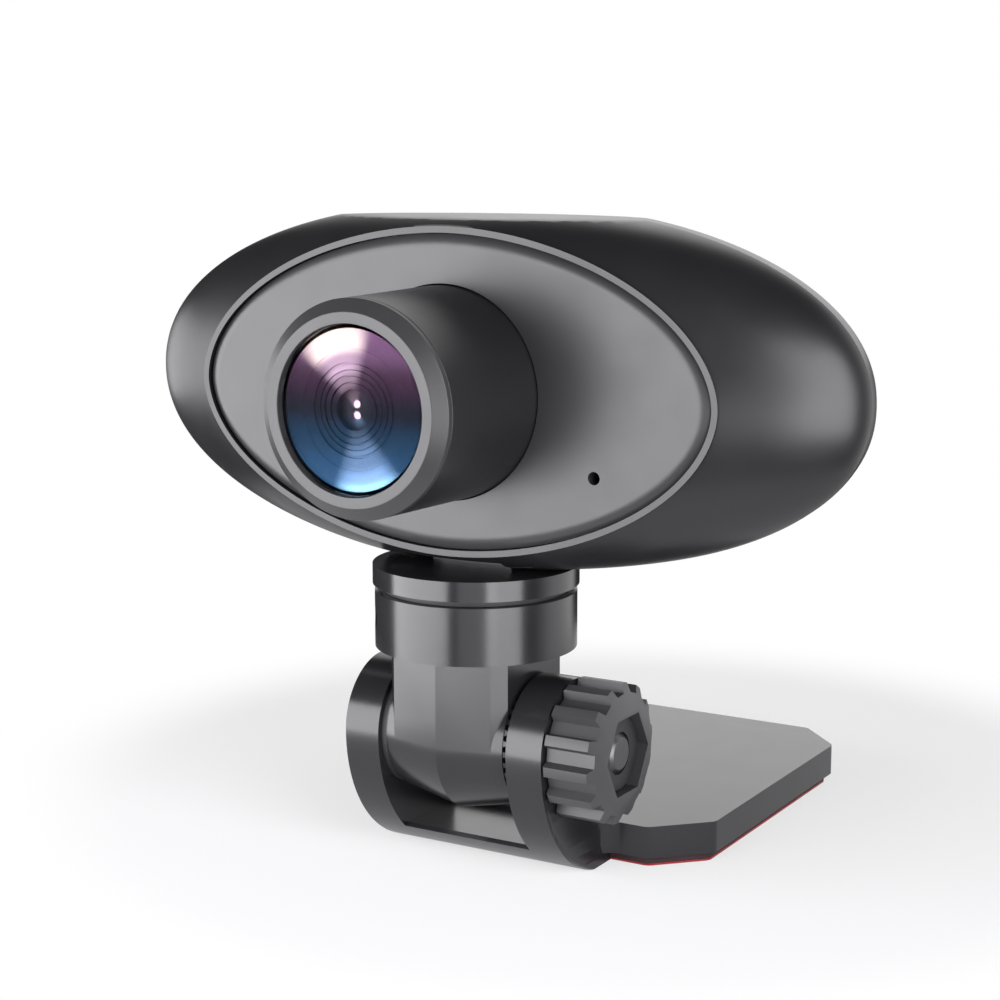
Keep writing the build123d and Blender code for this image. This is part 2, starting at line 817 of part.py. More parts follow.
bezel_back_y = barrel_front_y + bezel_length
turned(
    "lens_barrel",
    (barrel_bore_radius, bezel_back_y),
    (barrel_front_radius, bezel_back_y),
    (barrel_root_radius, panel_back_y),
    (barrel_flange_radius, panel_back_y),
    (barrel_flange_radius, panel_back_y + barrel_flange),
    (barrel_bore_radius, panel_back_y + barrel_flange),
)
turned(
    "bezel_ring",
    (glass_radius + seam_clearance, barrel_front_y),
    (bezel_face_radius, barrel_front_y),
    (barrel_front_radius, barrel_front_y + bezel_chamfer),
    (barrel_front_radius, bezel_back_y),
    (barrel_bore_radius - running_clearance, bezel_back_y),
    (barrel_bore_radius - running_clearance, bezel_back_y + bezel_spigot),
    (glass_radius + seam_clearance, bezel_back_y + bezel_spigot),
)

with BuildPart() as front_glass:
    with BuildSketch(lens_plane):
        with BuildLine():
            Polyline(
                (0, barrel_front_y),
                (0, glass_seat_y),
                (glass_radius, glass_seat_y),
                (glass_radius, barrel_front_y + glass_dome),
            )
            RadiusArc(
                (glass_radius, barrel_front_y + glass_dome),
                (0, barrel_front_y),
                (glass_radius**2 + glass_dome**2) / (2 * glass_dome),
            )
        make_face()
    revolve(axis=lens_axis)
finish(front_glass, "front_glass")

# The cell is dished just behind the glass and has a throat over the first lens.
cell_front_y = glass_seat_y + cell_dish
cell_step_y = cell_front_y + cell_step
cell_profile = [
    (glass_radius, glass_seat_y),
    (glass_radius - cell_land, glass_seat_y),
    (glass_radius - cell_land, cell_front_y),
    (glass_radius * cell_step_share, cell_front_y),
    (glass_radius * cell_step_share, cell_step_y),
]
throat_y = cell_step_y + throat_depth
throat_radius = glass_radius * throat_share
element_bore = element_radius + seam_clearance
cell_back_y = panel_back_y + barrel_flange
cell_profile += [
    (throat_radius, cell_step_y),
    (throat_radius, throat_y),
    (element_bore, throat_y),
    (element_bore, cell_back_y),
    (glass_radius, cell_back_y),
]
turned("lens_cell", *cell_profile)


def lens_element(name, front_y, radius, edge, front_bulge, back_bulge):
    """A round lens: flat-edged, its two faces arcs that bulge by the given amounts."""
    with BuildPart() as element:
        with BuildSketch(lens_plane):
            with BuildLine():
                front = front_y + front_bulge
                back = front + edge
                front_curve = (radius**2 + front_bulge**2) / (2 * front_bulge)
                back_curve = (radius**2 + back_bulge**2) / (2 * back_bulge)
                Line((0, back + back_bulge), (0, front_y))
                RadiusArc((radius, front), (0, front_y), front_curve)
                Line((radius, front), (radius, back))
                RadiusArc((0, back + back_bulge), (radius, back), back_curve)
            make_face()
        revolve(axis=lens_axis)
    finish(element, name)


# The first lens bulges into the throat and stops just short of its lip.
inner_curve = (element_radius**2 + inner_bulge**2) / (2 * inner_bulge)
inner_lens_y = throat_y + face_clearance - (inner_curve - (inner_curve**2 - throat_radius**2) ** 0.5)
spacer_y = inner_lens_y + inner_bulge + inner_edge + 0.18
aperture_y = cell_back_y - rear_group_depth
lens_element("inner_lens", inner_lens_y, element_radius, inner_edge, inner_bulge, 0.5)
lens_element("rear_lens", aperture_y + 0.6, element_radius, 1.1, 0.4, 0.6)
turned(
    "aperture_disc",
    (aperture_radius, aperture_y),
    (element_radius, aperture_y),
    (element_radius, aperture_y + 0.4),
    (aperture_radius + 0.5, aperture_y + 0.4),
)
turned(
    "lens_spacer",
    (element_radius - 0.6, spacer_y),
    (element_radius, spacer_y),
    (element_radius, aperture_y - 0.05),
    (element_radius - 0.6, aperture_y - 0.05),
)
turned(
    "lens_lock_ring",
    (element_radius - 0.8, aperture_y + 2.4),
    (element_radius, aperture_y + 2.4),
    (element_radius, aperture_y + 4.0),
    (element_radius - 0.8, aperture_y + 4.0),
)

# ---------------------------------------------------------------------- electronics


def block(name, y, depth, *rectangles):
    """Flat-sided piece starting at y and running back by depth, from
    (x, z, width, height) rectangles about the lens axis."""
    with BuildPart() as piece:
        with BuildSketch(facing_front(y)):
            for x, z, width, height in rectangles:
                with Locations((x, z)):
                    Rectangle(width, height)
        extrude(amount=-depth)
    finish(piece, name)


holder_front_y = cell_back_y
sensor_board_y = waist_y - 0.8
sensor_thickness = 0.9
with BuildPart() as sensor_holder:
    with BuildSketch(facing_front(holder_front_y)):
        Rectangle(sensor_holder_size, sensor_holder_size)
        Rectangle(sensor_size[0] + 1.4, sensor_size[1] + 1.4, mode=Mode.SUBTRACT)
    extrude(amount=-(sensor_board_y - holder_front_y))
finish(sensor_holder, "sensor_holder")
block("ir_filter", holder_front_y + 0.3, 0.4, (0, 0, sensor_size[0] + 1.3, sensor_size[1] + 1.3))
block("image_sensor", sensor_board_y - sensor_thickness, sensor_thickness, (0, 0, *sensor_size))
block("sensor_board", sensor_board_y, 0.8, (0, 0, *sensor_board_size))
board_back_y = main_board_y + board_thickness
sensor_back_y = sensor_board_y + 0.8
stack_gap = main_board_y - sensor_back_y
block("main_board", main_board_y, board_thickness, (0, 0, *main_board_size))
block("flex_cable", sensor_back_y, stack_gap, (0, 7.5, 9.0, 0.3))
block("board_stack_pins", sensor_back_y, stack_gap, (9, -7, 2, 2), (-9, -7, 2, 2))
port_board_length = inner_back_y - board_back_y - 0.2
block("port_board", board_back_y, port_board_length, (0, 0, port_board_width, port_board_thickness))

with BuildPart() as power_socket:
    with BuildSketch(facing_front(rear_y - 0.3)):
        with Locations((0, socket_z)):
            RectangleRounded(socket_width, socket_height, socket_height / 2 - 0.05)
    extrude(amount=socket_depth)
    with BuildSketch(facing_front(rear_y - 0.3)):
        with Locations((0, socket_z)):
            RectangleRounded(
                socket_width - 2 * socket_wall,
                socket_height - 2 * socket_wall,
                socket_height / 2 - socket_wall - 0.05,
            )
            Rectangle(socket_width - 2.3, 0.7, mode=Mode.SUBTRACT)
    extrude(amount=socket_depth - 1, mode=Mode.SUBTRACT)
finish(power_socket, "power_socket")

card_socket_width = card_width + 2 * card_clearance + 2 * card_socket_wall
card_socket_height = card_thickness + 2 * card_clearance + 2 * card_socket_wall
card_back_y = rear_y + card_proud
card_front_y = card_back_y - card_length
with BuildPart() as card_socket:
    with BuildSketch(facing_front(board_back_y + 0.05)):
        with Locations((0, card_slot_z)):
            Rectangle(card_socket_width, card_socket_height)
    extrude(amount=-(inner_back_y - board_back_y - 0.2))
    with BuildSketch(facing_front(card_front_y - card_clearance)):
        with Locations((0, card_slot_z)):
            Rectangle(card_width + 2 * card_clearance, card_thickness + 2 * card_clearance)
    extrude(amount=-card_length - 1, mode=Mode.SUBTRACT)
finish(card_socket, "card_socket")

with BuildPart() as memory_card:
    with BuildSketch(facing_front(card_front_y)):
        with Locations((0, card_slot_z)):
            Rectangle(card_width, card_thickness)
    extrude(amount=-card_length)
finish(memory_card, "memory_card")

with BuildPart() as reset_button:
    with BuildSketch(facing_front(rear_y + card_proud)):
        with Locations((button_x, button_z)):
            Circle(button_radius)
    extrude(amount=shell_wall + 2 * card_proud + button_travel)
    with BuildSketch(facing_front(inner_back_y - 0.2)):
        with Locations((button_x, button_z)):
            Circle(button_radius + 0.6)
    extrude(amount=0.8)
finish(reset_button, "reset_button")

switch_back_y = inner_back_y - 1.0 - button_travel - 0.1
block("reset_switch", switch_back_y - 2.6, 2.6, (button_x - 0.3, -port_board_thickness / 2 - 2.2, 3.0, 4.4))

with BuildPart() as speaker:
    with BuildSketch(facing_front(speaker_y)):
        with Locations((speaker_x, 0)):
            Circle(speaker_radius)
    extrude(amount=-speaker_thickness)
finish(speaker, "speaker")

capacitor_y = board_back_y + capacitor_radius + 0.05
with BuildPart() as supercapacitors:
    for start, height in ((12.0, 5.5), (12.0, -5.5)):
        with BuildSketch(Plane(origin=(start, swivel_y + capacitor_y, lens_z + height), z_dir=(1, 0, 0))):
            Circle(capacitor_radius)
        extrude(amount=capacitor_length)
finish(supercapacitors, "supercapacitors")

with BuildPart() as microphone_boot:
    with BuildSketch(facing_front(panel_back_y)):
        with Locations((microphone_x, microphone_z)):
            Circle(2.7)
            Circle(microphone_hole_radius, mode=Mode.SUBTRACT)
    extrude(amount=-3.0)
    with BuildSketch(facing_front(panel_back_y + 1.0)):
        with Locations((microphone_x, microphone_z)):
            Circle(2.05)
    extrude(amount=-3.0, mode=Mode.SUBTRACT)
finish(microphone_boot, "microphone_boot")

with BuildPart() as microphone:
    with BuildSketch(facing_front(panel_back_y + 1.0)):
        with Locations((microphone_x, microphone_z)):
            Circle(2.0)
    extrude(amount=-1.8)
finish(microphone, "microphone")
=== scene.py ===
"""Dash camera on a windscreen mount: finished pieces, finishes and a plain studio."""

from math import acos, asin, atan2, cos, degrees, pi, radians, sin, sqrt, tan

import bmesh
import bpy
from bpy.props import FloatProperty, FloatVectorProperty, IntProperty, PointerProperty
from mathutils import Matrix, Vector


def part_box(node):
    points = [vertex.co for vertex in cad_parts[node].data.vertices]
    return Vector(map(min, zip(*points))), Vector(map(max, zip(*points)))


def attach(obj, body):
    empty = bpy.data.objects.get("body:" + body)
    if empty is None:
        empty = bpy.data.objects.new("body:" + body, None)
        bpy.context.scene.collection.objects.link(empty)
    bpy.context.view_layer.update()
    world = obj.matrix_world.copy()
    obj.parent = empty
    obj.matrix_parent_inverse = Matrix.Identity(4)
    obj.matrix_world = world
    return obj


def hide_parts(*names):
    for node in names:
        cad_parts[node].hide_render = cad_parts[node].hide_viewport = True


bl_info = {
    "name": "Dash Camera",
    "version": (1, 0, 0),
    "blender": (4, 5, 0),
    "location": "View3D > Sidebar > Dash Camera",
    "description": "Models a dash camera, its tilting windscreen mount and a plain studio",
    "category": "Add Mesh",
}

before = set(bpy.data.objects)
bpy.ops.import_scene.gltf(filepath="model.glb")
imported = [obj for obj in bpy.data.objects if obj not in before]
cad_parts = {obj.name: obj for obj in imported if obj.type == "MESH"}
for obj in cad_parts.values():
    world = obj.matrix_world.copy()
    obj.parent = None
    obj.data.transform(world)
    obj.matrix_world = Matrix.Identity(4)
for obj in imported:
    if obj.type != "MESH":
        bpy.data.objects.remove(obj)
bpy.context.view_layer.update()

RIGHT, BACK, UP = Vector((1, 0, 0)), Vector((0, 1, 0)), Vector((0, 0, 1))

# Sizes that the pieces share and that no setting changes, in millimetres.
SCREW_HEAD = 1.9
SCREW_HEAD_HEIGHT = 1.3
HEX_FLATS, HEX_HEIGHT = 7.0, 2.8
HEX_SEAT_FLATS, HEX_SEAT_DEPTH = 7.3, 1.8
BORE_GAP = 0.06
SPIGOT = 6.0
COLLAR, COLLAR_HEIGHT = 9.8, 5.5
TOOTH_INNER, TOOTH_OUTER, TOOTH_HEIGHT = 4.2, 6.05, 0.3
PLATE_THICKNESS = 3.2
FLANGE_HALF, FLANGE_THICKNESS = 6.0, 1.6


class Millimetres:
    """A group of settings whose lengths read in millimetres."""

    def __init__(self, group):
        self.group = group

    def __getattr__(self, name):
        return getattr(self.group, name) * 1000


def span(node):
    """Lowest and highest corner of a CAD node, in millimetres."""
    low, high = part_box(node)
    return low * 1000, high * 1000


def lowest(node):
    return span(node)[0]


def highest(node):
    return span(node)[1]


def middle(node):
    """Centre of a CAD node, in millimetres."""
    low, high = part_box(node)
    return (low + high) * 500


def depths(node):
    """How far behind the swivel axis a CAD node starts and ends."""
    low, high = span(node)
    return low.y - SWIVEL_Y, high.y - SWIVEL_Y


# The three axes that the camera is built on.
SWIVEL_Y = middle("swivel_disc").y
PIVOT_Z = middle("knob_nut").z
LENS_Z = middle("bezel_ring").z
PIVOT = Vector((0, SWIVEL_Y, PIVOT_Z))
SWIVEL = Vector((0, SWIVEL_Y, 0))
LENS = Vector((0, SWIVEL_Y, LENS_Z))


# ----------------------------------------------------------------- shaping tools


def as_object(bm, name):
    """Close a form's seams, turn its faces outwards and make an object of it."""
    bmesh.ops.remove_doubles(bm, verts=bm.verts, dist=1e-4)
    bmesh.ops.recalc_face_normals(bm, faces=bm.faces)
    mesh = bpy.data.meshes.new(name)
    bm.to_mesh(mesh)
    bm.free()
    piece = bpy.data.objects.new(name, mesh)
    bpy.context.scene.collection.objects.link(piece)
    return piece


def settle(piece):
    """Apply a piece's modifiers to its mesh."""
    bpy.context.view_layer.update()
    depsgraph = bpy.context.evaluated_depsgraph_get()
    mesh = bpy.data.meshes.new_from_object(piece.evaluated_get(depsgraph))
    piece.modifiers.clear()
    piece.data = mesh


def combine(operation, piece, tools):
    """Combine a piece with each tool in turn and remove the tools."""
    for tool in tools:
        step = piece.modifiers.new("Combine", "BOOLEAN")
        step.operation = operation
        step.object = tool
        step.solver = "EXACT"
        settle(piece)
        bpy.data.objects.remove(tool)


def cut(piece, *tools):
    combine("DIFFERENCE", piece, tools)


def fuse(piece, *tools):
    combine("UNION", piece, tools)


def keep_within(piece, *tools):
    combine("INTERSECT", piece, tools)


def merge_flats(piece):
    """Make each flat area one face again after the cuts."""
    bm = bmesh.new()
    bm.from_mesh(piece.data)
    bmesh.ops.remove_doubles(bm, verts=bm.verts, dist=1e-4)
    bmesh.ops.dissolve_limit(
        bm, angle_limit=radians(0.2), verts=bm.verts, edges=bm.edges, use_dissolve_boundaries=False
    )
    bm.to_mesh(piece.data)
    bm.free()
    return piece


def soften(piece, width, segments=2, angle=30):
    """Round the piece's corners by a small bevel and shade it smoothly."""
    piece.data.polygons.foreach_set("use_smooth", [True] * len(piece.data.polygons))
    if width:
        bevel = piece.modifiers.new("Soft edges", "BEVEL")
        bevel.width = width
        bevel.segments = segments
        bevel.limit_method = "ANGLE"
        bevel.angle_limit = radians(angle)
        bevel.use_clamp_overlap = True
        bevel.harden_normals = True
        bevel.miter_outer = "MITER_ARC"
        settle(piece)
    else:
        piece.data.set_sharp_from_angle(angle=radians(angle))
    return piece


def fit(piece, body, finish, slot, *nodes):
    """Bring a finished piece to size, give it its finish and set it on its body."""
    piece.data.transform(Matrix.Scale(0.001, 4))
    piece.data.materials.clear()
    piece.data.materials.append(finish_for(finish))
    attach(piece, body)
    if nodes:
        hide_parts(*nodes)


def turned(name, profile, axis, centre, steps=144):
    """Spin a (radius, along) profile round an axis. A profile that starts and ends on
    the axis is closed by it, and any other is closed by its last edge."""
    bm = bmesh.new()
    side = axis.orthogonal().normalized()
    verts = [bm.verts.new(centre + side * radius + axis * along) for radius, along in profile]
    edges = [bm.edges.new(pair) for pair in zip(verts, verts[1:])]
    if profile[0][0] > 1e-6 or profile[-1][0] > 1e-6:
        edges.append(bm.edges.new((verts[-1], verts[0])))
    turn = {"cent": centre, "axis": axis, "angle": 2 * pi, "steps": steps, "use_merge": True}
    bmesh.ops.spin(bm, geom=verts + edges, **turn)
    return as_object(bm, name)


def prism(name, outline, origin, across, up, depth):
    """Extrude a flat outline, drawn along across and up, by depth."""
    bm = bmesh.new()
    face = bm.faces.new([bm.verts.new(origin + across * x + up * y) for x, y in outline])
    grown = bmesh.ops.extrude_face_region(bm, geom=[face])
    moved = [item for item in grown["geom"] if isinstance(item, bmesh.types.BMVert)]
    bmesh.ops.translate(bm, verts=moved, vec=across.cross(up) * depth)
    return as_object(bm, name)


def block(name, low, high):
    bm = bmesh.new()
    bmesh.ops.create_cube(bm, size=1)
    low, high = Vector(low), Vector(high)
    for vert in bm.verts:
        vert.co = Vector((low[i] + (vert.co[i] + 0.5) * (high[i] - low[i]) for i in range(3)))
    return as_object(bm, name)


def rod(name, start, direction, radius, length, segments=48):
    """Plain round bar from a start point."""
    direction = Vector(direction).normalized()
    side = direction.orthogonal().normalized()
    turns = [2 * pi * i / segments for i in range(segments)]
    outline = [(radius * cos(turn), radius * sin(turn)) for turn in turns]
    return prism(name, outline, Vector(start), side, direction.cross(side), length)


def arc(centre_x, centre_y, radius, first, last, steps):
    """Points along an arc, from angle first to angle last in degrees."""
    angles = [radians(first + (last - first) * i / steps) for i in range(steps + 1)]
    return [(centre_x + radius * cos(a), centre_y + radius * sin(a)) for a in angles]


def hexagon(flats):
    """Hexagon outline, points to the left and right, given its width across flats."""
    corner = flats / sqrt(3)
    return [(corner * cos(radians(60 * i)), corner * sin(radians(60 * i))) for i in range(6)]


def rounded(points, radius, steps=6):
    """Round every corner of a closed outline with an arc that touches both sides."""
    result = []
    for i, point in enumerate(points):
        corner = Vector(point)
        to_before = (Vector(points[i - 1]) - corner).normalized()
        to_after = (Vector(points[(i + 1) % len(points)]) - corner).normalized()
        half = acos(max(-1, min(1, to_before.dot(to_after)))) / 2
        reach = radius / tan(half)
        centre = corner + (to_before + to_after).normalized() * (radius / sin(half))
        start = corner + to_before * reach - centre
        end = corner + to_after * reach - centre
        first = atan2(start.y, start.x)
        turn = (atan2(end.y, end.x) - first + pi) % (2 * pi) - pi
        for j in range(steps + 1):
            angle = first + turn * j / steps
            result.append((centre.x + radius * cos(angle), centre.y + radius * sin(angle)))
    return result


def rounded_box(width, height, radius, rise=0.0):
    """Outline of a box with round corners, its centre raised by rise."""
    x, y = width / 2, height / 2
    return rounded([(x, rise + y), (-x, rise + y), (-x, rise - y), (x, rise - y)], radius)


def cut_corners(width, length, corner, radius=1.2):
    """Rectangle with its corners cut off and every edge rounded."""
    x, y = width / 2, length / 2
    points = [(x, -y + corner), (x, y - corner), (x - corner, y), (-x + corner, y)]
    points += [(-x, y - corner), (-x, -y + corner), (-x + corner, -y), (x - corner, -y)]
    return rounded(points, radius, 5)


# --------------------------------------------------------------------- finishes


def feed(tree, socket, value):
    """Link a socket to its source, or set its value."""
    if isinstance(value, bpy.types.NodeSocket):
        tree.links.new(value, socket)
    else:
        socket.default_value = value


def wire(tree, node, **inputs):
    """Feed a node's inputs by name, with underscores for the spaces in a name."""
    for name, value in inputs.items():
        feed(tree, node.inputs[name.replace("_", " ")], value)
    return node


def add(tree, kind, **inputs):
    return wire(tree, tree.nodes.new("ShaderNode" + kind), **inputs)


def operate(tree, kind, operation, *values):
    """Add a Math or VectorMath node and give its result."""
    node = add(tree, kind)
    node.operation = operation
    for socket, value in zip(node.inputs, values):
        feed(tree, socket, value)
    return node.outputs["Vector" if operation == "NORMALIZE" else "Value"]


def math_node(tree, operation, *values):
    return operate(tree, "Math", operation, *values)


def product(tree, result, *factors):
    for factor in factors:
        result = math_node(tree, "MULTIPLY", result, factor)
    return result


def remap(tree, value, first, last, low=0.0, high=1.0, kind="LINEAR"):
    """Map first to low and last to high, and hold what lies outside."""
    ends = {"From_Min": first, "From_Max": last, "To_Min": low, "To_Max": high}
    node = add(tree, "MapRange", Value=value, **ends)
    node.interpolation_type = kind
    return node.outputs["Result"]


def fade(tree, value, low, high):
    """Nought at low, one at high, smooth between; low may lie above high."""
    ends = (0.0, 1.0) if low < high else (1.0, 0.0)
    return remap(tree, value, min(low, high), max(low, high), *ends, kind="SMOOTHSTEP")


def spread(tree, texture, low, high):
    """Stretch a texture's value to run from low to high."""
    return remap(tree, texture, 0.3, 0.7, low, high)


def noise(tree, place, size, detail):
    """Noise whose features are about size metres across."""
    return add(tree, "TexNoise", Scale=1 / size, Detail=detail, Vector=place).outputs["Fac"]


def blend(tree, factor, first, second):
    """Mix two colours, each of them numbers or a socket."""
    node = add(tree, "Mix")
    node.data_type = "RGBA"
    return wire(tree, node, Factor=factor, A=first, B=second).outputs["Result"]


def shade(colour, amount):
    """The colour made lighter or darker, with its alpha."""
    return (*(max(0.0, channel * amount) for channel in colour), 1)


def new_finish(name):
    finish = bpy.data.materials.new(name)
    finish.use_nodes = True
    tree = finish.node_tree
    place = add(tree, "TexCoord").outputs["Object"]
    return finish, tree, tree.nodes["Principled BSDF"], place


def moulded(name, colour, roughness, grain=0.00025, relief=0.06, metallic=0.0):
    """Moulded or cast surface: fine grain, uneven sheen and a little colour drift."""
    finish, tree, shader, place = new_finish(name)
    drift = spread(tree, noise(tree, place, 0.012, 2), 0, 1)
    tint = blend(tree, drift, shade(colour, 0.94), shade(colour, 1.06))
    sheen = noise(tree, place, 0.004, 4)
    gloss = spread(tree, sheen, roughness * 0.93, roughness * 1.07)
    bump = add(tree, "Bump", Strength=relief, Distance=grain * 0.2)
    wire(tree, bump, Height=noise(tree, place, grain, 2))
    wire(tree, shader, Base_Color=tint, Roughness=gloss, Normal=bump.outputs["Normal"])
    wire(tree, shader, Metallic=metallic)
    return finish


def machined(name, colour, roughness, axis):
    """Turned metal: fine rings round an axis, in a slightly uneven sheen."""
    finish, tree, shader, place = new_finish(name)
    scale = [9000.0 if letter == axis else 60.0 for letter in "XYZ"]
    stretched = add(tree, "Mapping", Scale=scale, Vector=place).outputs["Vector"]
    lines = noise(tree, stretched, 1, 2)
    gloss = spread(tree, lines, roughness * 0.85, roughness * 1.15)
    tint = blend(tree, spread(tree, lines, 0, 1), shade(colour, 0.93), shade(colour, 1.04))
    wire(tree, shader, Base_Color=tint, Roughness=gloss, Metallic=1.0)
    return finish


def ramp(tree, source, stops):
    """Colours between stops, each a position, a colour and how much of it."""
    node = add(tree, "ValToRGB", Fac=source)
    node.color_ramp.interpolation = "EASE"
    elements = node.color_ramp.elements
    for element, (position, tint, amount) in zip(elements, (stops[0], stops[-1])):
        element.position, element.color = position, shade(tint, amount)
    for position, tint, amount in stops[1:-1]:
        elements.new(position).color = shade(tint, amount)
    return node.outputs["Color"]


def fan(tree, direction, angle, narrow, wide):
    """One inside a fan that opens from the lens axis, nought outside it."""
    along = (cos(radians(angle)), 0, sin(radians(angle)))
    dot = operate(tree, "VectorMath", "DOT_PRODUCT", direction, along)
    return fade(tree, dot, cos(radians(wide)), cos(radians(narrow)))


def painted_reflection_optics(name, settings, roughness, specular, painted_glints=()):
    """Lens optics with painted reflections: a rose fan of painted light above the lens axis, a blue
    one below it, and painted glints.
    """
    finish, tree, shader, place = new_finish(name)
    reach = settings.glass_radius
    scale, centre = (1 / reach, 0, 1 / reach), (0, 0, -LENS_Z / 1000 / reach)
    across = add(tree, "Mapping", Scale=scale, Location=centre, Vector=place).outputs["Vector"]
    radius = operate(tree, "VectorMath", "LENGTH", across)
    direction = operate(tree, "VectorMath", "NORMALIZE", across)
    height = remap(tree, add(tree, "SeparateXYZ", Vector=across).outputs["Z"], -1, 1)

    names = ("top", "warm", "dark", "rose", "blue", "foot", "edge")
    tints = (tuple(getattr(settings, "coating_" + tint)) for tint in names)
    top, warm, dark, rose, blue, foot, edge = tints
    # Painted reflections by height: blue below the centre, dark across the middle, rose above it.
    around = [(0.0, blue, 1.4), (0.15, blue, 1), (0.32, blue, 0.5), (0.5, dark, 1)]
    around += [(0.68, rose, 0.3), (0.85, rose, 1), (1.0, rose, 1.5)]
    # Brighter painted reflections of the lamps, by distance from the centre, in a fan above the
    # axis and one below it.
    above = [(0.05, top, 0.15), (0.22, top, 0.1), (0.36, top, 0.25), (0.5, top, 0.5)]
    above += [(0.62, top, 0.42), (0.78, warm, 0.85), (1.0, warm, 0.7)]
    below = [(0.05, foot, 0.3), (0.22, foot, 0.1), (0.36, foot, 0.2), (0.52, foot, 0.4)]
    below += [(0.65, foot, 0.4), (0.82, foot, 0.8), (0.95, edge, 1)]
    colour = ramp(tree, height, around)
    for stops, *opening in ((above, 108, 6, 36), (below, 282, 4, 32)):
        lit = ramp(tree, radius, stops)
        colour = blend(tree, fan(tree, direction, *opening), colour, lit)
    # Painted glints: pale pink spots near the centre, one at each given height.
    for rise in painted_glints:
        gap = operate(tree, "VectorMath", "DISTANCE", across, (0.015, 0, rise))
        colour = blend(tree, fade(tree, gap, 0.055, 0.02), colour, (0.95, 0.6, 0.9, 1))
    flecks = noise(tree, place, 0.0012, 2)
    gloss = spread(tree, flecks, roughness * 0.9, roughness * 1.1)
    wire(tree, shader, Base_Color=colour, Roughness=gloss, Specular_IOR_Level=specular)
    return finish


def clear_glass(name, tint, index):
    """Optical glass. An anti-reflection pane reflects so little that its index is set low."""
    finish, tree, shader, place = new_finish(name)
    film = spread(tree, noise(tree, place, 0.006, 1), 0, 1)
    wire(tree, shader, Base_Color=blend(tree, film, shade(tint, 0.98), shade(tint, 1)))
    wire(tree, shader, Roughness=0.02, Transmission_Weight=1.0, IOR=index)
    return finish


# Grain, relief and metallic share of a blackened metal.
BLACKENED = (0.00025, 0.06, 0.6)
FINISHES = {}


def finish_for(key):
    """The finish of that name, made the first time that it is asked for."""
    if key not in FINISHES:
        colours = bpy.context.scene.dash_camera_finishes
        lens = bpy.context.scene.dash_camera_lens
        makers = {
            "housing": (moulded, "Housing plastic", colours.housing, 0.34),
            "panel": (moulded, "Panel plastic", colours.panel, 0.34),
            "barrel": (moulded, "Barrel plastic", colours.barrel, 0.36),
            "bezel": (moulded, "Bezel", colours.bezel, 0.4),
            "mount": (moulded, "Mount casting", colours.mount, 0.22),
            "swivel": (moulded, "Swivel casting", colours.mount, 0.18),
            "knob": (moulded, "Knob plastic", colours.knob, 0.42),
            "foam": (moulded, "Foam tape", colours.foam, 0.9, 0.0005, 0.9),
            "liner": (moulded, "Release liner", colours.liner, 0.32, 0.003, 0.1),
            "washer": (moulded, "Friction washer", (0.02, 0.02, 0.022), 0.6),
            "black": (moulded, "Matt black plastic", (0.01, 0.01, 0.011), 0.6),
            "board": (moulded, "Circuit board", (0.01, 0.07, 0.03), 0.4),
            "chip": (moulded, "Chip package", (0.015, 0.015, 0.017), 0.45),
            "sleeve": (moulded, "Capacitor sleeve", (0.02, 0.03, 0.09), 0.3),
            "boot": (moulded, "Rubber boot", (0.02, 0.02, 0.02), 0.75),
            "black_steel": (moulded, "Blackened steel", (0.012, 0.012, 0.013), 0.35, *BLACKENED),
            "steel": (machined, "Machined steel", (0.5, 0.5, 0.51), 0.3, "X"),
            "bolt": (machined, "Bolt steel", (0.11, 0.11, 0.113), 0.45, "X"),
            "brass": (machined, "Plated contact", (0.75, 0.55, 0.22), 0.3, "Y"),
            "tin": (machined, "Tinned shell", (0.6, 0.6, 0.6), 0.35, "Y"),
            # The cell and inner lens have painted reflections in their colour, and the inner lens
            # also has two painted glints.
            "cell": (painted_reflection_optics, "Lens cell", lens, 0.6, 0.0),
            "coating": (painted_reflection_optics, "Lens coating", lens, 0.3, 0.03, (-0.065, 0.065)),
            "glass": (clear_glass, "Coated glass", (0.97, 0.96, 0.98), 1.05),
        }
        maker, *values = makers[key]
        FINISHES[key] = maker(*values)
    return FINISHES[key]


# ------------------------------------------------------------------- settings


def length(name, description, default):
    return FloatProperty(name=name, description=description, default=default, unit="LENGTH")


def level(name, description, default):
    return FloatProperty(name=name, description=description, default=default)


def count(name, description, default, least):
    return IntProperty(name=name, description=description, default=default, min=least)


def colour(name, description, default):
    limits = {"default": default, "subtype": "COLOR", "min": 0, "max": 1}
    return FloatVectorProperty(name=name, description=description, **limits)


class DashCameraFinishes(bpy.types.PropertyGroup):
    """Colours of the moulded and cast pieces."""

    housing: colour("Housing", "Colour of the camera body", (0.011, 0.011, 0.012))
    panel: colour("Front panel", "Colour of the recessed front panel", (0.028, 0.028, 0.03))
    barrel: colour("Barrel", "Colour of the lens barrel", (0.011, 0.011, 0.012))
    bezel: colour("Bezel", "Colour of the ring round the front glass", (0.03, 0.03, 0.031))
    mount: colour("Mount", "Colour of the fork, knuckle and swivel", (0.013, 0.013, 0.0145))
    knob: colour("Knob", "Colour of the clamping knob", (0.034, 0.034, 0.036))
    foam: colour("Foam", "Colour of the foam tape", (0.03, 0.014, 0.016))
    liner: colour("Liner", "Colour of the release liner", (0.24, 0.008, 0.012))


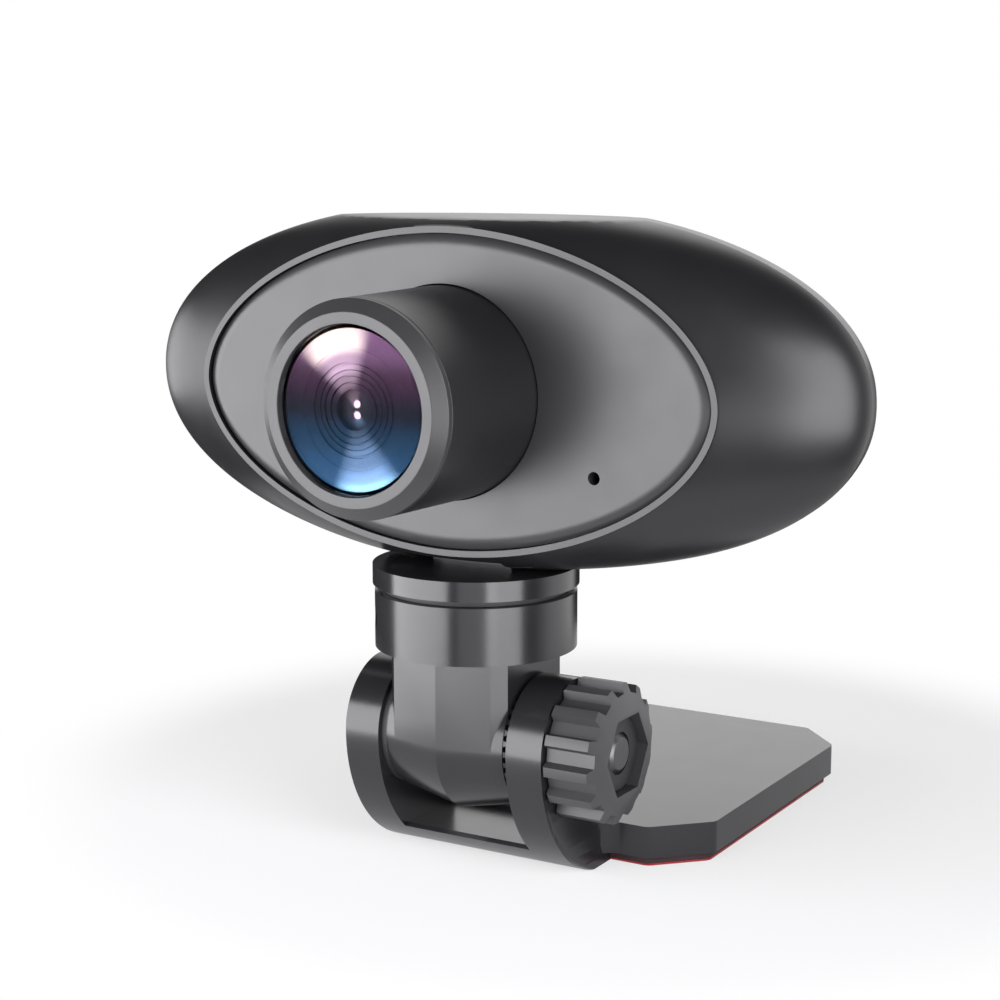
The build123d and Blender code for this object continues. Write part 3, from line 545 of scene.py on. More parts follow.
class DashCameraHousing(bpy.types.PropertyGroup):
    """Sizes of the eye-shaped camera body."""

    half_width: length("Half width", "Half the body's width at its waist", 0.03893)
    half_height: length("Half height", "Half the body's height before it is cut flat", 0.01732)
    rim_y: length("Rim", "Place of the front rim behind the swivel axis", -0.006)
    waist_y: length("Waist", "Place of the widest section behind the swivel axis", 0.0022)
    front_depth: length("Front depth", "Depth of the front curve", 0.01336)
    rear_depth: length("Rear depth", "Depth of the rear curve", 0.02009)
    wall: length("Wall", "Thickness of the shells", 0.0013)
    rim_width: length("Rim width", "Width of the rim's front edge", 0.0006)
    lip: length("Rim lip", "How far the rim stands in front of the skin", 0.00025)
    seam: length("Seam", "Gap between fitted pieces", 0.00008)
    panel_recess: length("Panel recess", "How far the panel lies behind the rim", 0.0001)
    panel_depth: length("Panel depth", "Thickness of the panel in front of its flange", 0.0015)
    panel_edge: length("Panel edge", "Width of the panel's sloping edge", 0.0013)
    slot_width: length("Slot width", "Width of the slot that the rail slides in", 0.0106)
    notch: length("Notch", "Height of the slot's opening under the front shell", 0.0008)


class DashCameraLens(bpy.types.PropertyGroup):
    """Sizes of the lens and the colours of its painted reflections."""

    glass_radius: length("Glass radius", "Radius of the front glass", 0.0075)
    cell_land: length("Cell land", "Width of the seat that the glass rests on", 0.00035)
    cell_dish: length("Cell dish", "Depth of the cell behind the glass", 0.00015)
    groove: length("Cell groove", "Depth of the rings round the inner lens", 0.0002)
    dome: length("Dome", "Height of the front glass's dome", 0.00025)
    face_radius: length("Bezel face radius", "Outer radius of the flat bezel face", 0.0086)
    front_radius: length("Barrel front radius", "Radius of the barrel's front", 0.00977)
    root_radius: length("Barrel root radius", "Radius of the barrel at the panel", 0.01005)
    chamfer: length("Bezel chamfer", "Depth of the sloping edge of the bezel", 0.0009)
    # Colours of the reflections painted on the lens cell and inner lens.
    coating_top: colour("Painted reflection, top", "Reflection above the lens centre", (0.6, 0.42, 0.55))
    coating_warm: colour("Painted reflection, rim", "Reflection at the top of the glass", (0.82, 0.66, 0.6))
    coating_dark: colour("Painted reflection, side", "Colour at the sides of the lens", (0.005, 0.006, 0.01))
    coating_rose: colour("Painted reflection, rose", "Faint reflection above the centre", (0.08, 0.04, 0.08))
    coating_blue: colour("Painted reflection, blue", "Faint reflection below the centre", (0.012, 0.04, 0.085))
    coating_foot: colour("Painted reflection, foot", "Reflection below the lens centre", (0.17, 0.3, 0.5))
    coating_edge: colour("Painted reflection, edge", "Reflection at the foot of the glass", (0.25, 0.5, 0.68))


class DashCameraMount(bpy.types.PropertyGroup):
    """Sizes of the swivel, knuckle, fork and pad."""

    knuckle_width: length("Knuckle width", "Width between the ears", 0.013)
    ridge_radius: length("Ridge radius", "Reach of the knuckle's ridge", 0.0075)
    side_radius: length("Side radius", "Reach of the knuckle at its sides", 0.00615)
    corner: length("Neck corner", "Chamfer on the neck's corners", 0.0011)
    ear_radius: length("Ear radius", "Radius of the fork's ears", 0.0066)
    ear_front_radius: length("Ear front radius", "Radius of the fork's curved front", 0.014)
    fork_gap: length("Fork gap", "Space between the ears", 0.0143)
    ear_thickness: length("Ear thickness", "Thickness of each ear", 0.0038)
    floor_height: length("Fork floor", "Height of the floor between the ears", 0.0029)
    foot_spread: length("Foot spread", "How far the foot spreads outwards", 0.00085)
    foot_corner: length("Foot corner", "Radius of the foot's front corners", 0.0008)
    foot_height: length("Foot height", "Height at which the foot starts to spread", 0.008)
    fork_back: length("Fork back", "Back of the ears behind the swivel axis", 0.0074)
    plate_corner: length("Plate corner", "Cut across the plate's corners", 0.005)
    teeth: count("Teeth", "Detent teeth round the pivot", 36, 12)


class DashCameraKnob(bpy.types.PropertyGroup):
    """Sizes of the clamping knob."""

    radius: length("Radius", "Outer radius of the knob", 0.00675)
    face_radius: length("Face radius", "Radius of the flat end face", 0.0047)
    cone: length("Cone", "Depth of the sloping end", 0.00085)
    flutes: count("Flutes", "Grooves round the knob", 14, 6)
    flute_depth: length("Flute depth", "Depth of the grooves", 0.0009)
    flute_mouth: length("Flute mouth", "Width of a groove at its opening", 0.0023)
    flute_floor: length("Flute floor", "Width of a groove's flat floor", 0.00125)
    pocket: length("Pocket", "Width across flats of the hexagon pocket", 0.0073)
    bolt_radius: length("Bolt radius", "Radius of the bolt's plain shank", 0.00197)


class DashCameraStudio(bpy.types.PropertyGroup):
    """Camera, lamps and floor."""

    focal_length: FloatProperty(
        name="Focal length",
        description="Focal length of the studio camera",
        default=75.62,
        unit="CAMERA",
    )
    key: level("Key", "Brightness of the front left softbox", 7.7)
    side: level("Side", "Brightness of the right softbox", 6.6)
    front: level("Front", "Brightness of the low front softbox", 1.6)
    left: level("Left", "Brightness of the near left softbox", 2.6)
    fill: level("Fill", "Brightness of the room's even light", 0.14)
    shadow: level("Shadow", "Share of the shadow that shows", 0.5)


# --------------------------------------------------------------------- housing

# Powers of the curves that the body's half width and half height follow from the waist,
# and the roundness of the outline where they end.
FRONT_CURVE = (1.66, 2.57, 1.87)
REAR_CURVE = (1.78, 2.45, 2.0)
WAIST_ROUNDNESS = 2.15
STATIONS = 30
PANEL_SLOPE = 36


def section(sizes, y, inset):
    """Half width, half height and roundness of the body at y, moved in by inset."""
    # The rim is a straight lip that stands in front of the curved skin.
    y = max(y, sizes.rim_y + sizes.lip)
    if y <= sizes.waist_y:
        away, run = sizes.waist_y - y, sizes.waist_y - sizes.rim_y
        reach = away / sizes.front_depth
        width_power, height_power, end = FRONT_CURVE
    else:
        away, run = y - sizes.waist_y, sizes.rear_depth
        reach = away / (sizes.rear_depth - inset)
        width_power, height_power, end = REAR_CURVE
    roundness = WAIST_ROUNDNESS + (end - WAIST_ROUNDNESS) * away / run
    width = sizes.half_width * (1 - reach**width_power) ** (1 / width_power)
    height = sizes.half_height * (1 - reach**height_power) ** (1 / height_power)
    return width - inset, height - inset, roundness


def eye_ring(bm, y, half_width, half_height, roundness):
    """One eye-shaped ring of edges, as far behind the swivel axis as y says."""
    verts = bmesh.ops.create_circle(bm, cap_ends=False, radius=1, segments=192)["verts"]
    for vert in verts:
        angle = atan2(vert.co.y, vert.co.x)
        wide = abs(cos(angle)) ** (2 / roundness) * half_width
        high = abs(sin(angle)) ** (2 / roundness) * half_height
        side = wide if cos(angle) > 0 else -wide
        rise = high if sin(angle) > 0 else -high
        vert.co = LENS + Vector((side, y, rise))
    return list({edge for vert in verts for edge in vert.link_edges})


def skinned(bm, rings):
    """Bridge rings of edges in order and close both ends."""
    for first, second in zip(rings, rings[1:]):
        bmesh.ops.bridge_loops(bm, edges=first + second)
    bmesh.ops.holes_fill(bm, edges=rings[0] + rings[-1], sides=0)


def eye_form(sizes, name, inset, first, last):
    """Eye-shaped body between two stations, cut flat above and below."""
    bm = bmesh.new()
    lip = sizes.rim_y + sizes.lip
    stations = [first, lip] if first < lip else [first]
    start = stations[-1]
    for i in range(1, STATIONS + 1):
        # Stations behind the waist crowd towards the end, where the skin curves most.
        share = sin(pi / 2 * i / STATIONS) if last > 10 else i / STATIONS
        stations.append(start + (last - start) * share)
    skinned(bm, [eye_ring(bm, y, *section(sizes, y, inset)) for y in stations])
    low, high = span("rear_cover")
    for height, outwards in ((low.z + inset, -UP), (high.z - inset, UP)):
        everything = list(bm.verts) + list(bm.edges) + list(bm.faces)
        plane = {"plane_co": UP * height, "plane_no": outwards, "clear_outer": True}
        bmesh.ops.bisect_plane(bm, geom=everything, **plane)
        open_edges = [edge for edge in bm.edges if edge.is_boundary]
        bmesh.ops.holes_fill(bm, edges=open_edges, sides=0)
    return as_object(bm, name)


def eye_plug(sizes, name, inset, first, last):
    """Straight-sided plug with the rim's outline moved in by inset."""
    bm = bmesh.new()
    outline = section(sizes, sizes.rim_y, inset)
    skinned(bm, [eye_ring(bm, first, *outline), eye_ring(bm, last, *outline)])
    return as_object(bm, name)


def shoe_space(clearance):
    """Block of space that the rail shoe takes up through both shells."""
    low, high = span("rail_shoe")
    near = (low.x - clearance, low.y - clearance, low.z - 1)
    return block("Shoe space", near, (high.x + clearance, high.y + 5, high.z + clearance))


def screw_places():
    """Places across the body of the four case screws."""
    low, high = span("case_screws")
    across = (low.x + SCREW_HEAD, high.x - SCREW_HEAD)
    return [(x, z) for x in across for z in (low.z + SCREW_HEAD, high.z - SCREW_HEAD)]


class DASHCAM_OT_housing(bpy.types.Operator):
    """Front shell, rear cover and rail shoe of the camera"""

    bl_idname = "dashcam.housing"
    bl_label = "Housing"

    def execute(self, context):
        sizes = Millimetres(context.scene.dash_camera_housing)
        rim, waist, wall, seam = sizes.rim_y, sizes.waist_y, sizes.wall, sizes.seam
        under, rear = lowest("rear_cover").z, depths("rear_cover")[1]
        slot = sizes.slot_width / 2
        notch = [(-slot, SWIVEL_Y + rim - 1, under - 1)]
        notch.append((slot, SWIVEL_Y + 0.5, under + sizes.notch))

        front = eye_form(sizes, "Front_shell", 0, rim, waist)
        step = rim + sizes.panel_recess + sizes.panel_depth
        cut(front, eye_form(sizes, "Hollow", wall, rim - 0.001, waist + 0.001))
        cut(front, eye_plug(sizes, "Rabbet", sizes.rim_width, rim - 1, step))
        cut(front, shoe_space(seam), block("Notch", *notch))
        soften(merge_flats(front), 0.12, 3, 35)
        fit(front, "head", "housing", "shell", "front_shell")

        cover = eye_form(sizes, "Rear_cover", 0, waist, rear)
        cut(cover, eye_form(sizes, "Hollow", wall, waist - 0.001, rear - wall))
        cut(cover, shoe_space(seam))
        head = highest("case_screws").y - SCREW_HEAD_HEIGHT
        for x, z in screw_places():
            post = rod("Post", (x, SWIVEL_Y + waist, z), BACK, SCREW_HEAD + 0.9, 8)
            keep_within(post, eye_form(sizes, "Skin", 0, waist, rear))
            fuse(cover, post)
            cut(cover, rod("Recess", (x, head, z), BACK, SCREW_HEAD + 0.1, 20))
            cut(cover, rod("Hole", (x, SWIVEL_Y, z), BACK, 1.05, 20, 24))
        inside = SWIVEL_Y + rear - wall - 1
        for node, clearance, radius in (("memory_card", 0.15, 0.1), ("power_socket", 0.1, 1.5)):
            (low, high), at = span(node), middle(node)
            width, height = high.x - low.x + 2 * clearance, high.z - low.z + 2 * clearance
            outline = rounded_box(width, height, radius)
            cut(cover, prism("Opening", outline, Vector((at.x, inside, at.z)), -RIGHT, UP, 5))
        button = middle("reset_button")
        cut(cover, rod("Button hole", (button.x, inside, button.z), BACK, 1.4, 5))
        for share in (-1.5, -0.5, 0.5, 1.5):
            outline = rounded_box(5.6, 0.7, 0.3, 1.6 * share)
            cut(cover, prism("Sound slot", outline, middle("speaker"), -RIGHT, UP, 15))
        soften(merge_flats(cover), 0.1, 2, 35)
        fit(cover, "head", "housing", "shell", "rear_cover")

        shoe = shoe_space(0)
        shoe.name = "Rail_shoe"
        keep_within(shoe, eye_form(sizes, "Skin", 0, rim, rear))
        start, top = SWIVEL_Y - 0.9, highest("swivel_disc").z
        cut(shoe, block("Stem slot", (-slot, start, under - 2), (slot, start + 60, under + 1.46)))
        cut(shoe, block("Notch", *notch))
        half, shelf = FLANGE_HALF + 0.1, top - FLANGE_THICKNESS - 0.1
        cut(shoe, block("Flange slot", (-half, start, shelf), (half, start + 60, top + 0.1)))
        soften(merge_flats(shoe), 0.08, 2, 35)
        fit(shoe, "head", "housing", "shell", "rail_shoe")
        return {"FINISHED"}


class DASHCAM_OT_front_panel(bpy.types.Operator):
    """Recessed front panel with its microphone hole"""

    bl_idname = "dashcam.front_panel"
    bl_label = "Front panel"

    def execute(self, context):
        sizes = Millimetres(context.scene.dash_camera_housing)
        lens = Millimetres(context.scene.dash_camera_lens)
        bm = bmesh.new()
        rim, edge = sizes.rim_y, sizes.panel_edge
        width, height, roundness = section(sizes, rim, sizes.rim_width + sizes.seam)
        face = rim + sizes.panel_recess
        step = face + sizes.panel_depth
        flange = section(sizes, step, sizes.wall + sizes.seam)
        stations = (depths("front_panel")[1], step)
        rings = [eye_ring(bm, y, *flange) for y in stations]
        rings.append(eye_ring(bm, step, width, height, roundness))
        # The panel's edge falls away in an arc until it slopes by the full angle.
        slope = radians(PANEL_SLOPE)
        curve = edge / sin(slope)
        for i in range(11):
            angle = slope * (1 - i / 10)
            moved = edge - curve * sin(angle)
            y = face + curve * (1 - cos(angle))
            rings.append(eye_ring(bm, y, width - moved, height - moved, roundness))
        skinned(bm, rings)
        panel = as_object(bm, "Front_panel")
        bore = lens.root_radius + sizes.seam
        cut(panel, rod("Barrel bore", LENS + BACK * (rim - 1), BACK, bore, 10, 144))
        hole = middle("microphone")
        cut(panel, rod("Microphone hole", (hole.x, SWIVEL_Y + rim - 1, hole.z), BACK, 0.6, 10, 32))
        for x, z in screw_places():
            cut(panel, rod("Post hole", (x, SWIVEL_Y + step - 0.5, z), BACK, 2.3, 10, 40))
        soften(panel, 0.08, 2, 40)
        fit(panel, "head", "panel", "panel", "front_panel")
        return {"FINISHED"}


# ------------------------------------------------------------------------- lens


def dome_depth(radius, height, r):
    """Depth at r of a dome that is radius wide and height deep."""
    curve = (radius**2 + height**2) / (2 * height)
    return curve - sqrt(curve**2 - r**2)


class DASHCAM_OT_lens(bpy.types.Operator):
    """Barrel, bezel, front glass, stepped cell and inner lenses"""

    bl_idname = "dashcam.lens"
    bl_label = "Lens"

    def execute(self, context):
        sizes = Millimetres(context.scene.dash_camera_lens)
        glass, dome = sizes.glass_radius, sizes.dome
        outside, root = sizes.front_radius, sizes.root_radius
        front, ring_back = depths("bezel_ring")
        joint, back = depths("lens_barrel")
        socket, spigot, flange = 8.2, 8.14, 11.2

        profile = [(socket, joint), (outside, joint), (root, back - 1.0)]
        profile += [(flange, back - 1.0), (flange, back), (socket, back)]
        barrel = turned("Lens_barrel", profile, BACK, LENS)
        fit(soften(barrel, 0.08), "head", "barrel", "barrel", "lens_barrel")

        profile = [(glass + 0.08, front), (sizes.face_radius, front)]
        profile += [(outside, front + sizes.chamfer), (outside, joint - 0.01)]
        profile += [(spigot, joint - 0.01), (spigot, ring_back), (glass + 0.08, ring_back)]
        bezel = turned("Bezel_ring", profile, BACK, LENS)
        fit(soften(bezel, 0.07, 2, 25), "head", "bezel", "bezel", "bezel_ring")

        seat, trim = depths("front_glass")[1], 0.12
        profile = [(0, seat), (glass, seat)]
        profile += [(glass, front + dome + trim), (glass - trim, front + dome)]
        for i in range(1, 17):
            radius = (glass - trim) * (1 - i / 16)
            profile.append((radius, front + dome_depth(glass, dome, radius)))
        pane = turned("Front_glass", profile, BACK, LENS)
        fit(soften(pane, 0, angle=40), "head", "glass", "glass", "front_glass")

        dish = seat + sizes.cell_dish
        floor = dish + 0.08
        ledge, land = floor + sizes.groove, glass - sizes.cell_land
        profile = [(glass, seat), (land, seat), (land - 0.1, dish)]
        profile += [(glass * 0.72, dish), (glass * 0.71, floor)]
        for share, width in ((0.55, 0.26), (0.47, 0.12), (0.4, 0.2), (0.32, 0.16)):
            outer, inner = glass * share + width / 2, glass * share - width / 2
            profile += [(outer, floor), (outer, ledge), (inner, ledge), (inner, floor)]
        throat, bore, cell_back = glass * 0.24, 3.68, depths("lens_cell")[1]
        profile += [(throat, floor), (throat, floor + 0.6), (bore, floor + 0.6)]
        profile += [(bore, cell_back), (glass, cell_back)]
        cell = turned("Lens_cell", profile, BACK, LENS)
        # The cell's finish paints reflections on its steps.
        fit(soften(cell, 0.02, 1), "head", "cell", "cell", "lens_cell")

        # The inner lens's finish paints reflections and two glints on it; the rear lens is clear
        # glass.
        for name, node, *bulges, key in (
            ("Inner_lens", "inner_lens", 1.4, 0.5, "coating"),
            ("Rear_lens", "rear_lens", 0.4, 0.6, "glass"),
        ):
            low, high = span(node)
            radius = (high.x - low.x) / 2
            profile = []
            for bulge, pole, sign in zip(bulges, depths(node), (1, -1)):
                places = [radius * i / 24 for i in range(25)]
                face = [(r, pole + sign * dome_depth(radius, bulge, r)) for r in places]
                profile += face[::sign]
            element = turned(name, profile, BACK, LENS, 96)
            fit(soften(element, 0, angle=40), "head", key, "glass", node)
        return {"FINISHED"}


class DASHCAM_OT_back_fittings(bpy.types.Operator):
    """Power socket, memory card, reset button and case screws"""

    bl_idname = "dashcam.back_fittings"
    bl_label = "Back fittings"

    def execute(self, context):
        (low, high), at = span("power_socket"), middle("power_socket")
        width, height, depth = high.x - low.x, high.z - low.z, high.y - low.y
        origin = Vector((at.x, low.y, at.z))
        outline = rounded_box(width, height, height / 2 - 0.02)
        shell = prism("Power_socket", outline, origin, -RIGHT, UP, depth)
        hollow = rounded_box(width - 0.6, height - 0.6, height / 2 - 0.32)
        cut(shell, prism("Hollow", hollow, origin + BACK, -RIGHT, UP, depth))
        fit(soften(shell, 0.05), "head", "tin", "tin", "power_socket")
        half = (width - 2.3) / 2
        near = (at.x - half, low.y + 0.9, at.z - 0.35)
        far = (at.x + half, high.y - 0.6, at.z + 0.35)
        fit(soften(block("Socket_tongue", near, far), 0.06), "head", "black", "cell")

        low, high = span("memory_card")
        outline = [(low.x, low.y), (high.x, low.y), (high.x, high.y - 6.0)]
        outline += [(high.x - 0.7, high.y - 5.3), (high.x - 0.7, high.y - 3.4)]
        outline += [(high.x, high.y - 2.7), (high.x, high.y), (low.x, high.y)]
        card = prism("Memory_card", outline, UP * low.z, RIGHT, BACK, high.z - low.z)
        fit(soften(card, 0.08), "card", "chip", "chip", "memory_card")

        (low, high), at = span("reset_button"), middle("reset_button")
        profile = [(0, low.y), (1.9, low.y), (1.9, low.y + 0.8), (1.3, low.y + 0.8)]
        profile += [(1.3, high.y - 0.15), (1.15, high.y), (0.6, high.y - 0.08)]
        profile += [(0, high.y - 0.12)]
        button = turned("Reset_button", profile, BACK, Vector((at.x, 0, at.z)), 64)
        fit(soften(button, 0.05), "button", "housing", "shell", "reset_button")

        low, high = span("case_screws")
        seat = high.y - SCREW_HEAD_HEIGHT
        profile = [(0, low.y), (0.8, low.y), (0.95, low.y + 3.2), (0.95, seat)]
        profile += [(SCREW_HEAD, seat), (SCREW_HEAD, high.y - 0.5)]
        profile += [(1.5, high.y - 0.12), (0, high.y)]
        for number, (x, z) in enumerate(screw_places(), 1):
            screw = turned(f"Rear_screw_{number}", profile, BACK, Vector((x, 0, z)), 48)
            top = Vector((x, high.y - 0.8, z))
            for wide, tall in ((0.22, 1.1), (1.1, 0.22)):
                far = top + Vector((wide, 3, tall))
                cut(screw, block("Slot", top - Vector((wide, 0, tall)), far))
            nodes = ["case_screws"] if number == 1 else []
            fit(soften(screw, 0.04), "head", "black_steel", "black_hardware", *nodes)
        return {"FINISHED"}


# ------------------------------------------------------------------------ mount


def detent_teeth(total, face_x, height, every=1):
    """Ring of radial teeth on a flat face, pointing along X by height."""
    bm = bmesh.new()
    pitch = 2 * pi / total
    foot = 0.05 if height > 0 else -0.05
    tooth = []
    for trim, half, along in ((0, 0.31, -foot), (0.08, 0.17, height)):
        near, far = TOOTH_INNER + trim, TOOTH_OUTER - trim
        tooth += [(near, -half, along), (far, -half, along)]
        tooth += [(far, half, along), (near, half, along)]
    sides = [(0, 1, 5, 4), (1, 2, 6, 5), (2, 3, 7, 6), (3, 0, 4, 7)]
    for i in range(0, total, every):
        verts = []
        for radius, share, along in tooth:
            angle = pitch * i + pitch * share
            at = Vector((face_x + along, radius * cos(angle), radius * sin(angle)))
            verts.append(bm.verts.new(PIVOT + at))
        for corners in [(3, 2, 1, 0), (4, 5, 6, 7)] + sides:
            bm.faces.new([verts[corner] for corner in corners])
    return as_object(bm, "Teeth")


def join(piece, other):
    """Put another closed form into the same piece."""
    bm = bmesh.new()
    bm.from_mesh(piece.data)
    bm.from_mesh(other.data)
    bm.to_mesh(piece.data)
    bm.free()
    bpy.data.objects.remove(other)


class DASHCAM_OT_swivel(bpy.types.Operator):
    """Swivel disc with its spigot and the rail that holds the camera"""

    bl_idname = "dashcam.swivel"
    bl_label = "Swivel"

    def execute(self, context):
        low, high = span("swivel_disc")
        radius, groove = (high.x - low.x) / 2, middle("set_screw").z
        top = lowest("rear_cover").z - 0.29
        foot = top - 1.9
        profile = [(0, low.z), (SPIGOT, low.z), (SPIGOT, groove - 0.8), (5.3, groove - 0.8)]
        profile += [(5.3, groove + 0.8), (SPIGOT, groove + 0.8), (SPIGOT, foot)]
        profile += [(radius, foot), (radius, top), (0, top)]
        disc = turned("Swivel_disc", profile, UP, SWIVEL, 192)
        front, shelf = SWIVEL_Y - 0.8, high.z - FLANGE_THICKNESS
        back = front + 9.8
        fuse(disc, block("Stem", (-4.4, front, top - 0.5), (4.4, back, shelf)))
        fuse(disc, block("Flange", (-FLANGE_HALF, front, shelf), (FLANGE_HALF, back, high.z)))
        fit(soften(merge_flats(disc), 0.13), "swivel", "swivel", "swivel", "swivel_disc")
        return {"FINISHED"}


class DASHCAM_OT_knuckle(bpy.types.Operator):
    """Knuckle with its ridged neck, collar, set screw and washer"""

    bl_idname = "dashcam.knuckle"
    bl_label = "Knuckle"

    def execute(self, context):
        settings = context.scene.dash_camera_mount
        sizes = Millimetres(settings)
        bolt = Millimetres(context.scene.dash_camera_knob).bolt_radius
        half, corner = sizes.knuckle_width / 2, sizes.corner
        ridge, side = sizes.ridge_radius, sizes.side_radius
        top = lowest("swivel_washer").z
        foot = top - COLLAR_HEIGHT
        profile = [(0, -half), (side, -half), (ridge, 0), (side, half), (0, half)]
        knuckle = turned("Knuckle", profile, RIGHT, PIVOT, 192)
        corner_y = side + (ridge - side) * corner / half
        outline = [(0, -ridge), (half - corner, -corner_y), (half, -side + corner)]
        outline += [(half, side - corner), (half - corner, corner_y), (0, ridge)]
        outline += [(-x, y) for x, y in reversed(outline[1:-1])]
        fuse(knuckle, prism("Neck", outline, PIVOT, RIGHT, BACK, foot - PIVOT.z + 0.5))
        profile = [(0, foot), (COLLAR, foot), (COLLAR, top), (0, top)]
        fuse(knuckle, turned("Collar", profile, UP, SWIVEL, 192))
        start = SWIVEL + UP * (lowest("swivel_disc").z - 0.1)
        cut(knuckle, rod("Spigot bore", start, UP, SPIGOT + BORE_GAP, 20, 96))
        away = middle("set_screw") - SWIVEL
        out = Vector((away.x, away.y, 0)).normalized()
        start = SWIVEL + UP * middle("set_screw").z
        cut(knuckle, rod("Screw hole", start, out, 1.25, 20))
        cut(knuckle, rod("Bolt bore", PIVOT - RIGHT * 20, RIGHT, bolt + BORE_GAP, 40, 64))
        soften(merge_flats(knuckle), 0.13, 2, 20)
        join(knuckle, detent_teeth(settings.teeth, half, TOOTH_HEIGHT))
        fit(knuckle, "yoke", "mount", "bracket", "knuckle_collar")

        screw = rod("Set_screw", start + out * 6.12, out, 1.17, 2.68)
        cut(screw, prism("Socket", hexagon(1.5), start + out * 7.8, out.cross(UP), UP, -3))
        fuse(screw, rod("Tip", start + out * 5.4, out, 0.6, 1, 32))
        soften(merge_flats(screw), 0.05)
        fit(screw, "yoke", "black_steel", "black_hardware", "set_screw")

        low, high = span("swivel_washer")
        bore, edge = SPIGOT + 0.1, 9.0
        profile = [(bore, low.z), (edge, low.z), (edge, high.z), (bore, high.z)]
        washer = turned("Swivel_washer", profile, UP, SWIVEL)
        fit(soften(washer, 0.05), "yoke", "washer", "friction", "swivel_washer")
        return {"FINISHED"}


class DASHCAM_OT_fork(bpy.types.Operator):
    """Fork bracket with its ears, curved foot and plate"""

    bl_idname = "dashcam.fork"
    bl_label = "Fork bracket"

    def execute(self, context):
        settings = context.scene.dash_camera_mount
        sizes = Millimetres(settings)
        bore = Millimetres(context.scene.dash_camera_knob).bolt_radius + BORE_GAP
        radius, front, back = sizes.ear_radius, sizes.ear_front_radius, sizes.fork_back
        gap, corner = sizes.fork_gap / 2, sizes.foot_corner
        outer = gap + sizes.ear_thickness
        low, high = span("fork_bracket")
        drop = PIVOT_Z - low.z
        plate_low = highest("foam_tape").z
        plate_top = plate_low + PLATE_THICKNESS
        thickness = plate_top - plate_low
        plate_front = -highest("release_liner").y - 0.7
        heel = plate_front - SWIVEL_Y + 0.6
        toe = degrees(asin(drop / front))

        def nose(z):
            """Place of the fork's curved front at a height."""
            return front - radius - sqrt(front**2 - (PIVOT_Z - z) ** 2)

        outline = arc(0, 0, radius, 0, 180, 72)
        outline += arc(front - radius, 0, front, 180, 180 + toe, 40)[1:]
        outline += [(heel, -drop), (heel, plate_low - PIVOT_Z)]
        outline += [(back, plate_low - PIVOT_Z), (back, plate_top - PIVOT_Z)]
        fork = prism("Fork", outline, PIVOT - RIGHT * outer, BACK, UP, 2 * outer)

        ends = [(PIVOT_Z - drop, plate_low, heel), (plate_low - 0.1, sizes.foot_height, back)]
        for low_z, high_z, rear in ends:
            bm = bmesh.new()
            rings = []
            for i in range(19):
                z = low_z + (high_z - low_z) * (i / 18)
                half = outer - 0.02 + sizes.foot_spread * (1 - z / sizes.foot_height) ** 2
                y = nose(z) + corner
                points = [(-half, rear), (-half, y)]
                points += arc(-half + corner, y, corner, 180, 270, 8)[1:]
                points += arc(half - corner, y, corner, 270, 360, 8) + [(half, rear)]
                verts = [bm.verts.new(SWIVEL + Vector((x, y, z))) for x, y in points]
                rings.append([bm.edges.new(pair) for pair in zip(verts, verts[1:] + verts[:1])])
            skinned(bm, rings)
            fuse(fork, as_object(bm, "Foot"))

        outline = cut_corners(high.x - low.x, 2 * high.y, sizes.plate_corner)
        fuse(fork, prism("Plate", outline, UP * plate_low, RIGHT, BACK, thickness))
        # A hollow corner joins the plate's front to each side of the foot.
        web, web_outer = 2.0, outer + sizes.foot_spread * 0.25
        hollow = [(0, 0.3), (-0.5, 0.3), (-0.5, -web), (0, -web)]
        hollow += arc(web, -web, web, 165, 90, 5) + [(web, 0.3)]
        for hand in (-1, 1):
            points = [(hand * (web_outer + x), plate_front + y) for x, y in hollow]
            fuse(fork, prism("Web", points, UP * plate_low, RIGHT, BACK, thickness))
        floor_z = sizes.floor_height - PIVOT_Z
        space = [(-20, 20), (-20, floor_z), (back + 0.5, floor_z), (back + 0.5, 20)]
        cut(fork, prism("Gap", space, PIVOT - RIGHT * gap, BACK, UP, 2 * gap))
        # The floor's front edge is cut at a slope.
        reach = nose(sizes.floor_height)
        slope = [(-20, floor_z - 0.5), (reach - 1, floor_z - 0.5), (reach + 0.2, floor_z - 0.5)]
        slope += [(reach + 0.7, floor_z), (reach + 0.7, 0), (-20, 0)]
        cut(fork, prism("Slope", slope, PIVOT - RIGHT * gap, BACK, UP, 2 * gap))
        cut(fork, rod("Bolt bore", PIVOT - RIGHT * 30, RIGHT, bore, 60, 64))
        cut(fork, hex_bar("Seat", HEX_SEAT_FLATS, -(outer + 5), 5 + HEX_SEAT_DEPTH))
        soften(merge_flats(fork), 0.2, 3, 28)
        join(fork, detent_teeth(settings.teeth, gap, -TOOTH_HEIGHT, 3))
        fit(fork, "base", "mount", "bracket", "fork_bracket")
        return {"FINISHED"}


class DASHCAM_OT_pad(bpy.types.Operator):
    """Foam tape and release liner under the plate"""

    bl_idname = "dashcam.pad"
    bl_label = "Adhesive pad"

    def execute(self, context):
        corner = Millimetres(context.scene.dash_camera_mount).plate_corner - 0.41
        for name, node, key, soft in (
            ("Foam_tape", "foam_tape", "foam", 0.1),
            ("Release_liner", "release_liner", "liner", 0.03),
        ):
            low, high = span(node)
            outline = cut_corners(high.x - low.x, high.y - low.y, corner)
            layer = prism(name, outline, UP * low.z, RIGHT, BACK, high.z - low.z)
            fit(soften(layer, soft), "base", key, key, node)
        return {"FINISHED"}


def hex_bar(name, flats, start, depth):
    """Hexagonal bar along the pivot, from start towards the knob."""
    return prism(name, hexagon(flats), Vector((start, PIVOT.y, PIVOT.z)), BACK, UP, depth)


